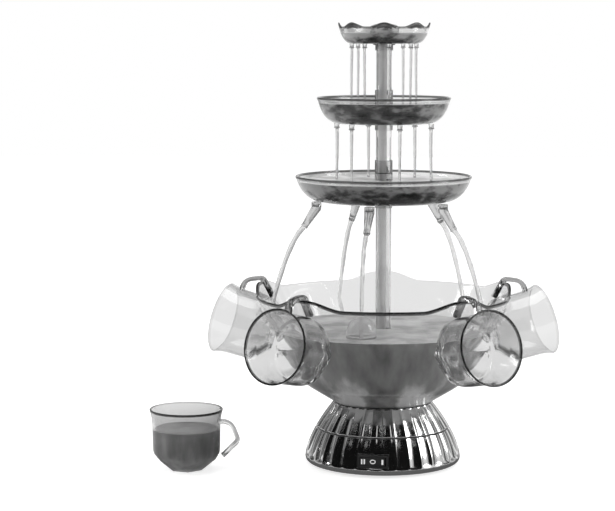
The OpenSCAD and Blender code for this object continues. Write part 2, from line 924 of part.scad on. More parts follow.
module middle_tier() {
    r = 3;
    color(CLEAR_PLASTIC) {
        difference() {
            union() {
                dish(middle_rim_r, middle_rim_z, middle_floor, middle_floor_r);
                rim_bead(middle_rim_r, middle_rim_z);
                around(middle_spouts, middle_first_bearing) {
                    translate([0, -middle_spout_ring_r, middle_floor]) spout(r, 6);
                }
            }
            around(middle_spouts, middle_first_bearing) {
                translate([0, -middle_spout_ring_r, middle_floor - 10]) cylinder(r = r * 0.5, h = 20);
            }
        }
    }
}

module top_tier() {
    r = 2.5;
    fade = (top_rim_r - 6) * sin(180 / top_spouts);
    color(CLEAR_PLASTIC) {
        difference() {
            union() {
                difference() {
                    dish(top_rim_r + 1.5, top_rim_z + scallop_h + 3, top_floor, top_floor_r);
                    above_rim(
                        top_spouts, 0, top_rim_z, scallop_h, 0, fade, top_rim_r * 0.78, top_rim_r * 1.3
                    );
                }
                around(top_spouts, top_first_bearing) {
                    translate([0, -top_spout_ring_r, top_floor]) spout(r, 5);
                }
            }
            around(top_spouts, top_first_bearing) {
                translate([0, -top_spout_ring_r, top_floor - 10]) cylinder(r = r * 0.5, h = 20);
            }
        }
    }
}

// Block under the mitre between a nozzle's sleeve and its spout
module below_mitre(half) {
    rotate([-nozzle_lean / 2, 0, 0]) translate([-half, -half, -2 * half]) cube(2 * half);
}

// Swivel nozzle: an upright sleeve over a spigot, mitred to a tapering spout that leans outwards
// and ends in a bead
module nozzle(k) {
    knee_z = lower_floor - nozzle_drop;
    sleeve_top = lower_floor - clear;
    color(CLEAR_PLASTIC) {
        rotate([0, 0, nozzle_first_bearing + 360 * (k - 1) / nozzle_count]) {
            translate([0, -nozzle_ring_r, knee_z]) {
                difference() {
                    union() {
                        difference() {
                            translate([0, 0, -nozzle_r]) {
                                cylinder(r = nozzle_r, h = sleeve_top - knee_z + nozzle_r);
                            }
                            below_mitre(nozzle_len);
                        }
                        intersection() {
                            rotate([-nozzle_lean, 0, 0]) {
                                translate([0, 0, -nozzle_len]) {
                                    cylinder(r1 = nozzle_tip_r, r2 = nozzle_r, h = nozzle_len + spigot_r);
                                }
                            }
                            below_mitre(2 * nozzle_len);
                        }
                        rotate([-nozzle_lean, 0, 0]) {
                            translate([0, 0, -nozzle_len]) {
                                cylinder(r = nozzle_tip_r + nozzle_bead_w, h = nozzle_bead_h);
                            }
                        }
                    }
                    translate([0, 0, lower_floor - spigot_len - clear - knee_z]) {
                        cylinder(r = spigot_r + run_fit, h = nozzle_len);
                    }
                    cylinder(r = spigot_bore_r, h = nozzle_len);
                    rotate([-nozzle_lean, 0, 0]) {
                        translate([0, 0, -nozzle_len - 1]) cylinder(r = nozzle_bore_r, h = nozzle_len + 2);
                    }
                }
            }
        }
    }
}

// Point of the hook in the cup, from its distances along and off the flat, as [radius, height]
function hook_point(along, off) = [
    cup_foot_r + along * sin(flat_angle) + off * cos(flat_angle),
    along * cos(flat_angle) - off * sin(flat_angle)
];

// Middle line of the hook: out along the arm, up the grip to the knuckle and down the free leg
hook_knuckle = hook_point(hook_reach + hook_t / 2 * tan(grip_angle / 2), leg_off + hook_t / 2);
hook_elbow = [hook_knuckle.x - (arm_z - hook_knuckle.y) * tan(grip_lean), arm_z];
hook_tip = hook_point(hook_end, leg_off + hook_t / 2);
hook_round = 5;
function rounded_corner(before, corner, after) = curve3(
    corner + hook_round * unit(before - corner), corner, corner + hook_round * unit(after - corner), 6
);

module cup() {
    arm_start = [cup_r - cup_wall / 2, arm_z];
    line = concat(
        [arm_start],
        rounded_corner(arm_start, hook_elbow, hook_knuckle),
        rounded_corner(hook_elbow, hook_knuckle, hook_tip),
        [hook_tip]
    );
    foot_corner = cup_foot_r / cos(180 / flat_count) + 0.5;
    outside = concat(
        curve3([foot_corner, 0], [cup_r - 1, cup_h * 0.04], [cup_r - 0.2, cup_h * 0.365], 8),
        [[cup_r, cup_h * 0.5]],
        curve3([cup_r + 0.5, cup_h * 0.76], [cup_r + 1, cup_h * 0.89], [cup_rim_r, cup_h - 1], 5),
        [[cup_rim_r, cup_h]]
    );
    floor_r = cup_foot_r - 1.5;
    side_z = (cup_r - cup_wall - 3 - cup_foot_r + 2.8) / tan(flat_angle);
    inside = concat(
        [[0, cup_floor_t], [floor_r, cup_floor_t], [floor_r + 2.2, cup_floor_t + 1]],
        curve3(
            [cup_r - cup_wall - 3, side_z], [cup_r - cup_wall - 0.3, side_z + 3.5],
            [cup_r - cup_wall, side_z + 11], 5
        ),
        [[cup_r - cup_wall + 0.3, cup_h * 0.76], [cup_rim_r - cup_wall, cup_h + 0.01], [0, cup_h + 0.01]]
    );
    difference() {
        union() {
            difference() {
                rotate_extrude() polygon(concat([[0, 0]], outside, [[0, cup_h]]));
                for (k = [0:flat_count - 1]) {
                    rotate([0, 0, 360 * k / flat_count]) {
                        translate([cup_foot_r, 0, 0]) {
                            rotate([0, 90 - flat_angle, 0]) {
                                translate([0, -cup_h, -cup_h]) cube([cup_h, 2 * cup_h, 2 * cup_h]);
                            }
                        }
                    }
                }
            }
            translate([0, hook_w / 2, 0]) {
                rotate([90, 0, 0]) {
                    linear_extrude(hook_w) {
                        polygon(concat(shifted(line, hook_t / 2), reversed(shifted(line, -hook_t / 2))));
                    }
                }
            }
        }
        rotate_extrude() polygon(inside);
    }
}

// Cup hooked over the ear at a bearing, with its mouth outwards
module hung_cup(bearing) {
    color(CLEAR_PLASTIC) {
        rotate([0, 0, bearing]) {
            translate([0, -cup_base.x, cup_base.y]) {
                rotate([90 - cup_tilt, 0, 0]) rotate([0, 0, 90]) cup();
            }
        }
    }
}

module cup_standing() {
    color(CLEAR_PLASTIC) {
        translate([standing_x, standing_y, 0]) rotate([0, 0, standing_turn]) cup();
    }
}

base_lower_shell();
base_upper_shell();
deck();
bottom_plate();
rubber_feet();
bottom_screws();
switch_housing();
switch_rocker();
cord_gland();
motor();
motor_shaft();
motor_screws();
lamp_board();
lamps();
bowl_gasket();
bowl_screws();
bowl();
shaft_seal();
impeller();
pump_cover();
lower_tube();
middle_tube();
upper_tube();
tube_seals();
lower_tier();
middle_tier();
top_tier();
pump_outlet();
lower_collar();
middle_collar();
top_collar();
nozzle(1);  // nozzle_1
nozzle(2);  // nozzle_2
nozzle(3);  // nozzle_3
nozzle(4);  // nozzle_4
nozzle(5);  // nozzle_5
hung_cup(180 + 2 * ear_step);  // cup_front_left
hung_cup(180 - 2 * ear_step);  // cup_front_right
hung_cup(180 + ear_step);  // cup_left
hung_cup(180 - ear_step);  // cup_right
cup_standing();
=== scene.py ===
import json
import math

import bmesh
import bpy
from mathutils import Matrix, Vector


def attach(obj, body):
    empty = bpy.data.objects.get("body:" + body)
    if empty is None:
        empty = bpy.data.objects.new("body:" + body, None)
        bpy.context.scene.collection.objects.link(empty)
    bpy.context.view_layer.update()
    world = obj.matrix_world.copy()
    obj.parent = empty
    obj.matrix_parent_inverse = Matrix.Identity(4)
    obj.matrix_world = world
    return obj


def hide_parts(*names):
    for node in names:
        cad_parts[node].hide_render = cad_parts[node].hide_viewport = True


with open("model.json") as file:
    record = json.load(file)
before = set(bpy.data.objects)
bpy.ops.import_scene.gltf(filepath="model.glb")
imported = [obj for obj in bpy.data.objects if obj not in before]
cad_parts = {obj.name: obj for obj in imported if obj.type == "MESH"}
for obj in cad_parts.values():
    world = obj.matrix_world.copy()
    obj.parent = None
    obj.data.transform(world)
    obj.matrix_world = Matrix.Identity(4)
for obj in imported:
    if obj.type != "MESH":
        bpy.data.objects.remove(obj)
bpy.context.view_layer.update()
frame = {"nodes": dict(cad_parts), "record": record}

MM = 0.001

# Sizes in millimetres, as in the solids; a bearing counts from the front (-Y) towards +X
TURNS = 192
BOWL_FLOOR_R = 41
BOWL_UNDER = 65.97
BOWL_WALL = 3
BOWL_SLOPE = math.radians(31.5)
HIP_R = 88.5
HIP_Z = BOWL_UNDER + (HIP_R - BOWL_FLOOR_R) * math.tan(BOWL_SLOPE)
HIP_PULL = 28
NECK_PULL = 26
FLARE = math.radians(30)
FLARE_ROWS = (0.13, 0.26, 0.39, 0.52, 0.65, 0.78, 0.9, 0.953, 1)
RIM_R, RIM_Z = 154.6, 205
NECK_Z = 157
NECK_R = RIM_R - (RIM_Z - NECK_Z) * math.tan(FLARE)
# Bearing span and depths, outside and inside, of the painted dark shade on the bowl's front rim
BOWL_SHADED_RIM_SPAN, BOWL_SHADED_RIM_OUT, BOWL_SHADED_RIM_IN = 110, 2.8, 1.4
EAR_H, EAR_FLAT, EAR_FADE = 10, 8, 50
EAR_BEARINGS = [180 + 72 * k for k in range(5)]
SHAFT_HOLE_R = 2.9

BASE_R, BELLY_Z, BASE_H, SEAT_R = 94, 8.5, 77, 59
DOME_POWER = 1.62
SEAM_Z, SEAM_T, FOOT_H = 45, 1.2, 2.2
FLUTES, FLUTE_STEPS, FLUTE_DEPTH, FLUTE_START, FLUTE_FADE = 36, 12, 1.6, 1, 5
SKIN, EDGE_ROW = 4.1, 0.15
SWITCH_BEARING, SWITCH_Z, SWITCH_W, SWITCH_H = -7, 20, 36, 15
SWITCH_FRONT = 93.06
ROCKER_W, MARK_X = 28.6, 11.5
MARK_H, MARK_W, TWIN_W, TWIN_OFF = 6, 2.2, 1.6, 1.5
GLAND_Z, GLAND_R, GLAND_FLANGE_R, GLAND_INSET = 16, 6, 8.5, 1.8
CUT_INNER, CUT_OUTER, CUT_SLACK = 70, 110, 0.8

TUBE_R, BORE_R = 9.3, 7.5
SOCKET_R, HUB_R = 9.4, 10.7
TIER_WALL, RIM_BEAD_R = 2, 1.6
# Sizes of the painted dark shade on tier rims and spout ends, and bearing span of the painted grey shade in
# front
BEAD_BAND, BEAD_DROP, BEAD_EDGE, SHADED_FRONT_BAND, SPOUT_LIP = 3.4, 1.5, 0.6, 80, 1.4
SKIRT, SEAT_RISE, SOCKET_DEPTH = 8, 4, 16
FLANGE_R, FLANGE_T, SEAT_GAP = 13.2, 1.5, 0.1
NOWHERE = 1000  # over everything, for a part that a tier doesn't have
# Look numbers of the sleeve painted lighter and of the sleeve painted darker
SLEEVE_PAINTED_LIGHT, SLEEVE_PAINTED_SHADE = 2, 4
TIERS = {
    "lower": {
        "rim_r": 105.5, "rim_z": 349, "floor": 319.6, "floor_r": 72, "hub_top": 369,
        "spout_end": NOWHERE, "wet_z": 342, "sleeve": SLEEVE_PAINTED_SHADE,
    },
    "middle": {
        "rim_r": 79.8, "rim_z": 443, "floor": 413, "floor_r": 52, "hub_top": 453,
        "spout_end": 406.9, "wet_z": 434.5, "sleeve": SLEEVE_PAINTED_LIGHT,
    },
    "top": {
        "rim_r": 54.4, "rim_z": 528, "floor": 508, "floor_r": 38, "hub_top": 522,
        "spout_end": 502.9, "wet_z": NOWHERE, "sleeve": SLEEVE_PAINTED_LIGHT,
    },
}
SCALLOPS, SCALLOP_H, SCALLOP_DIP = 8, 5, 22.5
TUBES = {"lower": (93.2, 322.4), "middle": (354.2, 415.8), "upper": (438.2, 510.8)}
PUMP_R, PUMP_Z0, PUMP_TOP, PUMP_HUB_TOP, PUMP_WALL = 32, 68.97, 87.97, 107.97, 2.5
RISER_R, RISER_X, RISER_HEIGHTS = 5.6, -2.1, (95, 200, 300, 400, 500, 521)

NOZZLES, NOZZLE_FIRST, NOZZLE_RING_R = 5, -11.7, 81
NOZZLE_KNEE_Z, NOZZLE_LEAN, NOZZLE_LEN = 312.1, math.radians(33), 27.5
# A nozzle's radius over its knee by height, and beyond it by share of the length
NOZZLE_CAP = ((7.1, 5.7), (6.8, 6), (2, 6))
NOZZLE_BARREL = ((0.2, 5.4), (0.5, 4.8), (0.92, 3.9), (0.93, 4.3), (0.98, 4.3), (1, 4))
SPIGOT_R, SPIGOT_TOP, SPIGOT_END = 4, 319.55, 313.6
STREAM_R, STREAM_TAPER, STREAM_RIPPLE = 3, 0.03, 0.2
STREAM_STEPS, RUN_STEPS = 24, 7
WALL_HIT_R, WALL_HIT_Z, LANDING_R = 136.4, 186, 124
SPLASH_R, SPLASH_BEARING, SPLASH_BEND = 82, -18, 2.2
MIDDLE_SPOUTS, MIDDLE_FIRST, MIDDLE_RING_R = 6, -41, 57.6
MIDDLE_STREAM_TOP, MIDDLE_STREAM_R = 406.8, 1.9
TOP_SPOUTS, TOP_FIRST, TOP_RING_R = 8, 9, 39
TOP_STREAM_TOP, TOP_STREAM_R = 502.8, 1.6

CUP_H, CUP_RIM_R, CUP_R, CUP_WALL = 74, 44, 40.5, 2.2
CUP_FOOT_R, CUP_FLATS, CUP_FLOOR = 17, 6, 4
# Depth of the painted dark shade on a cup's rim, and the bearing span where the standing cup keeps it
CUP_SHADED_RIM_BAND, CUP_SHADED_RIM_SPAN = 2.5, 100
CUP_TILT = 13
FLAT_ANGLE = math.radians(90 - 30 - CUP_TILT)
HOOK_W, HOOK_T, HOOK_REACH, HOOK_END, ARM_Z = 10, 5.5, 54.5, 30, 57
LEG_OFF, KNUCKLE_ROUND, ELBOW_ROUND = 3.8, 5, 11
GRIP_LEAN = math.radians(21.5)
HUNG_R, HUNG_Z = 137.59, 151.55
HUNG = {"cup_front_left": -36, "cup_front_right": 36, "cup_left": -108, "cup_right": 108}
STANDING = (-235, -49, 0)
STANDING_TURN = 10

BOWL_LEVEL = 166.5
TIER_LEVELS = {"lower": 345, "middle": 438, "top": 521}
CUP_LEVEL = 50
DRINK_GRIP, DRINK_GAP, NEAR_LEVEL = 0.3, 0.4, 0.6


# Small helpers for points and meshes
def at(r, bearing, z):
    b = math.radians(bearing)
    return (r * math.sin(b), -r * math.cos(b), z)


def ease(t):
    c = min(1, max(0, t))
    return c * c * (3 - 2 * c)


def curve3(a, b, c, n, share=1):
    out = []
    for i in range(n + 1):
        t = share * i / n
        s = 1 - t
        out.append(tuple(s * s * p + 2 * s * t * q + t * t * w for p, q, w in zip(a, b, c)))
    return out


def curve4(a, b, c, d, n):
    out = []
    for i in range(n + 1):
        t = i / n
        s = 1 - t
        out.append(
            tuple(
                s**3 * p + 3 * s * s * t * q + 3 * s * t * t * w + t**3 * e
                for p, q, w, e in zip(a, b, c, d)
            )
        )
    return out


def shifted(points, d):
    """A chain of points moved sideways, to its left for a positive distance."""
    out = []
    for i, p in enumerate(points):
        a, b = Vector(points[max(0, i - 1)]), Vector(points[min(len(points) - 1, i + 1)])
        along = (b - a).normalized()
        out.append((p[0] - d * along.y, p[1] + d * along.x))
    return out


def sharp_corners(loop, least=40):
    """Places in a closed loop where it turns sharply, away from the axis."""
    found = []
    for i, (r, z) in enumerate(loop):
        back = Vector(loop[i - 1]) - Vector((r, z))
        ahead = Vector(loop[(i + 1) % len(loop)]) - Vector((r, z))
        if r > 0 and 180 - math.degrees(back.angle(ahead, math.pi)) > least:
            found.append(i)
    return found


def softened(loop, radius, corners=None):
    """A closed loop whose sharp corners are rounded with four points each."""
    corners = sharp_corners(loop) if corners is None else corners
    out = []
    for i, place in enumerate(loop):
        if i not in corners:
            out.append(tuple(place))
            continue
        corner = Vector(place)
        back, ahead = Vector(loop[i - 1]) - corner, Vector(loop[(i + 1) % len(loop)]) - corner
        cut = min(radius, 0.45 * back.length, 0.45 * ahead.length)
        out += curve3(corner + cut * back.normalized(), corner, corner + cut * ahead.normalized(), 3)
    return out


def rim_arc(outer, inner, up, steps=8):
    """Half round over a wall's edge, from its outer end to its inner end."""
    middle = (Vector(outer) + Vector(inner)) / 2
    out_dir = Vector(outer) - middle
    rise = Vector(up).normalized() * out_dir.length
    turns = [math.pi * i / steps for i in range(1, steps)]
    return [tuple(middle + math.cos(w) * out_dir + math.sin(w) * rise) for w in turns]


def lathe(profile_at, turns=TURNS, closed=True):
    """Points and faces of a loop of (radius, height) turned round Z; profile_at takes a bearing."""
    verts, faces, rows = [], [], []
    for i in range(turns):
        bearing = 360 * i / turns
        row = []
        for r, z in profile_at(bearing):
            row.append(len(verts))
            verts.append(at(r, bearing, z))
        rows.append(row)
    count = len(rows[0])
    spans = count if closed else count - 1
    for i in range(turns):
        here, there = rows[i], rows[(i + 1) % turns]
        for j in range(spans):
            k = (j + 1) % count
            faces.append((here[j], there[j], there[k], here[k]))
    return verts, faces


def tube_along(path, radii, sides=16):
    """Points and faces of a round bar along a path, closed at both ends."""
    verts, faces = [], []
    side = None
    for i, p in enumerate(path):
        a, b = Vector(path[max(0, i - 1)]), Vector(path[min(len(path) - 1, i + 1)])
        along = (b - a).normalized()
        if side is None:
            side = along.orthogonal().normalized()
        side = (side - along * side.dot(along)).normalized()
        up = along.cross(side)
        for k in range(sides):
            w = 2 * math.pi * k / sides
            verts.append(tuple(Vector(p) + radii[i] * (math.cos(w) * side + math.sin(w) * up)))
    for i in range(len(path) - 1):
        for k in range(sides):
            a, b = i * sides + k, i * sides + (k + 1) % sides
            faces.append((a, b, b + sides, a + sides))
    last = (len(path) - 1) * sides
    faces.append(tuple(reversed(range(sides))))
    faces.append(tuple(range(last, last + sides)))
    return verts, faces


def joined(*parts):
    verts, faces = [], []
    for v, f in parts:
        base = len(verts)
        verts += v
        faces += [tuple(i + base for i in face) for face in f]
    return verts, faces


def piece(name, shape, looks, body, replaces=(), place=None, smooth=True, look_at=None):
    """A mesh piece in millimetres that rides on a body; look_at gives the number of the look at a place."""
    verts, faces = shape
    mesh = bpy.data.meshes.new(name)
    mesh.from_pydata([tuple(MM * c for c in v) for v in verts], [], faces)
    for look in looks:
        mesh.materials.append(look)
    if look_at:
        for face in mesh.polygons:
            x, y, z = face.center / MM
            face.material_index = look_at(math.hypot(x, y), z, math.degrees(math.atan2(x, -y)))
    if place is not None:
        mesh.transform(place)
    mesh.validate()
    weld(mesh)
    mesh.polygons.foreach_set("use_smooth", [smooth] * len(mesh.polygons))
    obj = bpy.data.objects.new(name, mesh)
    bpy.context.scene.collection.objects.link(obj)
    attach(obj, body)
    if replaces:
        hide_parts(*replaces)
    return obj


def weld(mesh):
    """Joins points that fall together, such as those on the axis, and makes faces point outwards."""
    bm = bmesh.new()
    bm.from_mesh(mesh)
    bmesh.ops.remove_doubles(bm, verts=bm.verts, dist=1e-6)
    bmesh.ops.recalc_face_normals(bm, faces=bm.faces)
    bm.to_mesh(mesh)
    bm.free()


# Materials
def new_material(name):
    mat = bpy.data.materials.new(name)
    mat.use_nodes = True
    tree = mat.node_tree
    tree.nodes.clear()
    out = tree.nodes.new("ShaderNodeOutputMaterial")
    shader = tree.nodes.new("ShaderNodeBsdfPrincipled")
    tree.links.new(shader.outputs[0], out.inputs["Surface"])
    return mat, tree, shader, out


def noise(tree, scale, detail=3, stretch=(1, 1, 1)):
    coords = tree.nodes.new("ShaderNodeTexCoord")
    mapping = tree.nodes.new("ShaderNodeMapping")
    mapping.inputs["Scale"].default_value = stretch
    tex = tree.nodes.new("ShaderNodeTexNoise")
    tex.inputs["Scale"].default_value = scale
    tex.inputs["Detail"].default_value = detail
    tree.links.new(coords.outputs["Object"], mapping.inputs["Vector"])
    tree.links.new(mapping.outputs[0], tex.inputs["Vector"])
    return tex.outputs["Fac"]


def ramp(tree, source, stops):
    node = tree.nodes.new("ShaderNodeValToRGB")
    elements = node.color_ramp.elements
    while len(elements) < len(stops):
        elements.new(0.5)
    for element, (place, grey) in zip(elements, stops):
        element.position = place
        element.color = (grey, grey, grey, 1)
    tree.links.new(source, node.inputs[0])
    return node.outputs[0]


def between(tree, source, start, end, low, high):
    """A value that goes from low to high while its source goes from start to end."""
    node = tree.nodes.new("ShaderNodeMapRange")
    for key, value in (("From Min", start), ("From Max", end), ("To Min", low), ("To Max", high)):
        node.inputs[key].default_value = value
    tree.links.new(source, node.inputs[0])
    return node.outputs[0]


def combined(tree, operation, first, second):
    node = tree.nodes.new("ShaderNodeMath")
    node.operation = operation
    tree.links.new(first, node.inputs[0])
    tree.links.new(second, node.inputs[1])
    return node.outputs[0]


def lets_lamps_through(tree, shader, out, share):
    """Lamps shine through the surface, so that clear pieces cast only a pale shadow."""
    path = tree.nodes.new("ShaderNodeLightPath")
    through = tree.nodes.new("ShaderNodeBsdfTransparent")
    through.inputs["Color"].default_value = (share, share, share, 1)
    mix = tree.nodes.new("ShaderNodeMixShader")
    tree.links.new(path.outputs["Is Shadow Ray"], mix.inputs[0])
    tree.links.new(shader.outputs[0], mix.inputs[1])
    tree.links.new(through.outputs[0], mix.inputs[2])
    tree.links.new(mix.outputs[0], out.inputs["Surface"])


def clear_plastic(name, tint, rough, index=1.47):
    mat, tree, shader, out = new_material(name)
    shader.inputs["Base Color"].default_value = (tint, tint, tint, 1)
    shader.inputs["Transmission Weight"].default_value = 1
    shader.inputs["IOR"].default_value = index
    tree.links.new(between(tree, noise(tree, 40), 0, 1, *rough), shader.inputs["Roughness"])
    lets_lamps_through(tree, shader, out, 0.92)
    return mat


def drink(name, stops, scale, stretch, heights, half, surface, rise, painted_glow_low_sides=0):
    """
    Cloudy drink with painted light and shade: painted paler towards its sides, with a painted shade that
    shifts by rise from bottom to top; painted_glow_low_sides adds painted light in pale lobes low down on
    both sides, and surface is the painted tone, with painted ripple reflections, of what faces up.
    """
    mat, tree, shader, _ = new_material(name)
    coords = tree.nodes.new("ShaderNodeTexCoord")
    place = tree.nodes.new("ShaderNodeSeparateXYZ")
    tree.links.new(coords.outputs["Object"], place.inputs[0])
    x, z = place.outputs[0], place.outputs[2]
    bottom, top = heights[0] * MM, heights[1] * MM
    aside = tree.nodes.new("ShaderNodeMath")
    aside.operation = "ABSOLUTE"
    tree.links.new(x, aside.inputs[0])
    # Painted light: the tone grows paler away from the middle across X, towards both sides
    sides = between(tree, aside.outputs[0], 0.3 * half * MM, half * MM, -0.06, 0.12)
    share = between(tree, aside.outputs[0], 0, half * MM, 0, 1)
    # Painted light: pale lobes low down on both sides, as strong as painted_glow_low_sides
    lobes = ramp(tree, share, [(0.15, 0), (0.3, 1), (0.45, 0.9), (0.65, 0.25), (0.85, 0)])
    lowness = between(tree, z, bottom, 0.35 * bottom + 0.65 * top, painted_glow_low_sides, 0)
    # Painted shade: the tone shifts by rise from bottom to top
    shade = combined(tree, "ADD", noise(tree, scale, 8, stretch), between(tree, z, bottom, top, *rise))
    shade = combined(tree, "ADD", shade, sides)
    shade = combined(tree, "ADD", shade, combined(tree, "MULTIPLY", lobes, lowness))
    # Painted light: faces that point up take the surface tone, streaked with painted ripple reflections
    facing = tree.nodes.new("ShaderNodeNewGeometry")
    up = tree.nodes.new("ShaderNodeSeparateXYZ")
    tree.links.new(facing.outputs["Normal"], up.inputs[0])
    mix = tree.nodes.new("ShaderNodeMix")
    mix.data_type = "RGBA"
    tree.links.new(ramp(tree, up.outputs[2], [(0.5, 0), (0.9, 1)]), mix.inputs["Factor"])
    tree.links.new(ramp(tree, shade, stops), mix.inputs["A"])
    streaks = ramp(tree, noise(tree, 28, 5), [(0.38, 0.72 * surface), (0.5, surface), (0.62, 1.2 * surface)])
    tree.links.new(streaks, mix.inputs["B"])
    tree.links.new(mix.outputs["Result"], shader.inputs["Base Color"])
    ripple = tree.nodes.new("ShaderNodeBump")
    ripple.inputs["Strength"].default_value = 0.25
    ripple.inputs["Distance"].default_value = 0.002
    tree.links.new(noise(tree, 70), ripple.inputs["Height"])
    tree.links.new(ripple.outputs[0], shader.inputs["Normal"])
    shader.inputs["Roughness"].default_value = 0.25
    shader.inputs["Specular IOR Level"].default_value = 0.2
    shader.inputs["IOR"].default_value = 1.34
    return mat


def clear_drink(name, stops, clearness):
    mat, tree, shader, out = new_material(name)
    tree.links.new(ramp(tree, noise(tree, 60), stops), shader.inputs["Base Color"])
    shader.inputs["Transmission Weight"].default_value = clearness
    shader.inputs["IOR"].default_value = 1.34
    shader.inputs["Roughness"].default_value = 0.1
    lets_lamps_through(tree, shader, out, 0.85)
    return mat


def solid_finish(name, stops, metallic, rough):
    mat, tree, shader, _ = new_material(name)
    grain = noise(tree, 60)
    tree.links.new(ramp(tree, grain, stops), shader.inputs["Base Color"])
    tree.links.new(between(tree, grain, 0, 1, *rough), shader.inputs["Roughness"])
    shader.inputs["Metallic"].default_value = metallic
    return mat


CLEAR = clear_plastic("clear_plastic", 0.84, (0, 0.03))
FROSTED = clear_plastic("frosted_plastic", 0.64, (0.2, 0.3))
# Painted shade: near-black copy of the clear plastic for dark edges on rims
PAINTED_DARK_EDGE_PLASTIC = clear_plastic("painted_dark_edge_clear", 0.07, (0, 0.03))
# Painted shade: darker copy of the clear plastic for handles, tier rim bands and spout ends
PAINTED_DARK_PLASTIC = clear_plastic("painted_dark_clear", 0.36, (0, 0.03))
# Painted light: paler copy of the clear plastic
PAINTED_LIGHT_PLASTIC = clear_plastic("painted_light_clear", 0.97, (0, 0.03))
# Painted shade: darker copy of the clear plastic
PAINTED_SHADE_PLASTIC = clear_plastic("painted_shade_clear", 0.76, (0, 0.03))
# Wall wetted by the drink, with an index close to the drink's; its darker tint is painted shade
WETTED_SHADED = clear_plastic("wetted_shaded_clear", 0.7, (0, 0.03), 1.08)
# Bowl drink: (0.09, 0.15) is painted shade from bottom to top, 0.58 the painted tone of its top, 0.85 the
# strength of painted light low on both sides
BOWL_DRINK = drink(
    "bowl_drink", [(0.25, 0.14), (0.5, 0.28), (0.75, 0.44), (1, 0.95)], 45, (1, 1, 0.16), (80, 160), 90, 0.58,
    (0.09, 0.15), 0.85,
)
# Cup drink: (0.1, 0.02) is painted shade from bottom to top and 0.24 the painted tone of its top
CUP_DRINK = drink(
    "cup_drink", [(0.3, 0.16), (0.5, 0.25), (0.7, 0.42)], 55, (1, 1, 0.2), (5, 50), 600, 0.24, (0.1, 0.02),
)
# Tier drinks: each surface is the painted tone of the top and each rise a painted shade from bottom to top
TIER_DRINKS = {
    name: drink(
        name + "_drink", stops, 60, (1, 1, 2.2), (TIERS[name]["floor"], TIER_LEVELS[name]),
        TIERS[name]["rim_r"], surface, rise,
    )
    for name, stops, surface, rise in (
        ("lower", [(0.4, 0.004), (0.52, 0.06), (0.7, 0.38)], 0.85, (-0.17, 0.26)),
        ("middle", [(0.38, 0.004), (0.5, 0.07), (0.66, 0.4)], 0.6, (0.07, 0.01)),
        ("top", [(0.38, 0.004), (0.5, 0.08), (0.68, 0.5)], 0.6, (-0.08, 0.2)),
    )
}
RUNNING = clear_drink("running_drink", [(0.3, 0.78), (0.7, 0.88)], 0.85)
RISING = clear_drink("rising_drink", [(0.3, 0.8), (0.7, 0.9)], 0.5)
CHROME = solid_finish("chrome", [(0.3, 0.78), (0.7, 0.82)], 1, (0.08, 0.13))
BLACK = solid_finish("black_plastic", [(0.3, 0.010), (0.7, 0.016)], 0, (0.3, 0.45))
RUBBER = solid_finish("rubber", [(0.3, 0.015), (0.7, 0.03)], 0, (0.6, 0.8))
STEEL = solid_finish("steel", [(0.3, 0.5), (0.7, 0.58)], 1, (0.25, 0.4))
BOARD = solid_finish("board", [(0.3, 0.05), (0.7, 0.08)], 0, (0.4, 0.5))
LENS = solid_finish("lamp_lens", [(0.3, 0.85), (0.7, 0.92)], 0, (0.15, 0.25))
MARK = solid_finish("switch_mark", [(0.3, 0.75), (0.7, 0.85)], 0, (0.4, 0.5))

SLOT_MATERIALS = {
    "chrome_shell": CHROME,
    "clear_plastic": CLEAR,
    "black_plastic": BLACK,
    "rubber": RUBBER,
    "steel": STEEL,
    "circuit_board": BOARD,
    "lamp_lens": LENS,
}
for row in frame["record"]["subparts"]:
    node = frame["nodes"][row["node"]]
    node.data.materials.clear()
    node.data.materials.append(SLOT_MATERIALS[row["material_slot"]])


# Base
def dome(z):
    return SEAT_R + (BASE_R - SEAT_R) * (1 - max(0, (z - BELLY_Z) / (BASE_H - BELLY_Z)) ** DOME_POWER)


def flute_share(z):
    return ease((z - BELLY_Z - FLUTE_START) / FLUTE_FADE)


def skin_rows(z0, z1, steps):
    heights = [z0 + (z1 - z0) * i / steps for i in range(steps + 1)]
    return [(dome(z), z, flute_share(z)) for z in heights]


def fluted(rows):
    """Turned loop of (radius, height, flute share) with flutes hollowed between sharp ridges."""
    pitch = 360 / FLUTES

    def profile(bearing):
        u = (bearing % pitch) / pitch
        hollow = 1 - (2 * u - 1) ** 2
        return [(r - FLUTE_DEPTH * share * hollow, z) for r, z, share in rows]

    return lathe(profile, FLUTES * FLUTE_STEPS)


def lower_shell_rows():
    low, top = FOOT_H, SEAM_Z - SEAM_T / 2
    lip_r = BASE_R - 8
    foot = [(r, z, 0) for r, z in curve3((lip_r, low), (BASE_R - 0.6, low + 0.6), (BASE_R, BELLY_Z), 6)]
    inner = [(dome(z) - SKIN, z, 0) for z in (top, (top + BELLY_Z) / 2, BELLY_Z + 2)]
    lip = [(lip_r - 4, low + 3.5, 0), (lip_r - 4, low, 0)]
    edge = [(dome(top), top, 1)]
    return foot + skin_rows(BELLY_Z + FLUTE_START, top - EDGE_ROW, 24) + edge + inner + lip


def upper_shell_rows():
    low, top = SEAM_Z + SEAM_T / 2, BASE_H - 1
    edge_r = SEAT_R - 3.2
    under = BASE_H + (edge_r - SEAT_R) * math.tan(BOWL_SLOPE) - 0.3
    rim = [(SEAT_R, BASE_H - 0.3, 0), (edge_r, under, 0), (edge_r, under - 2.5, 0)]
    inner = [(dome(z) - SKIN, z, 0) for z in (under - 5.5, (low + top) / 2, low)]
    return skin_rows(low, top, 20) + rim + inner


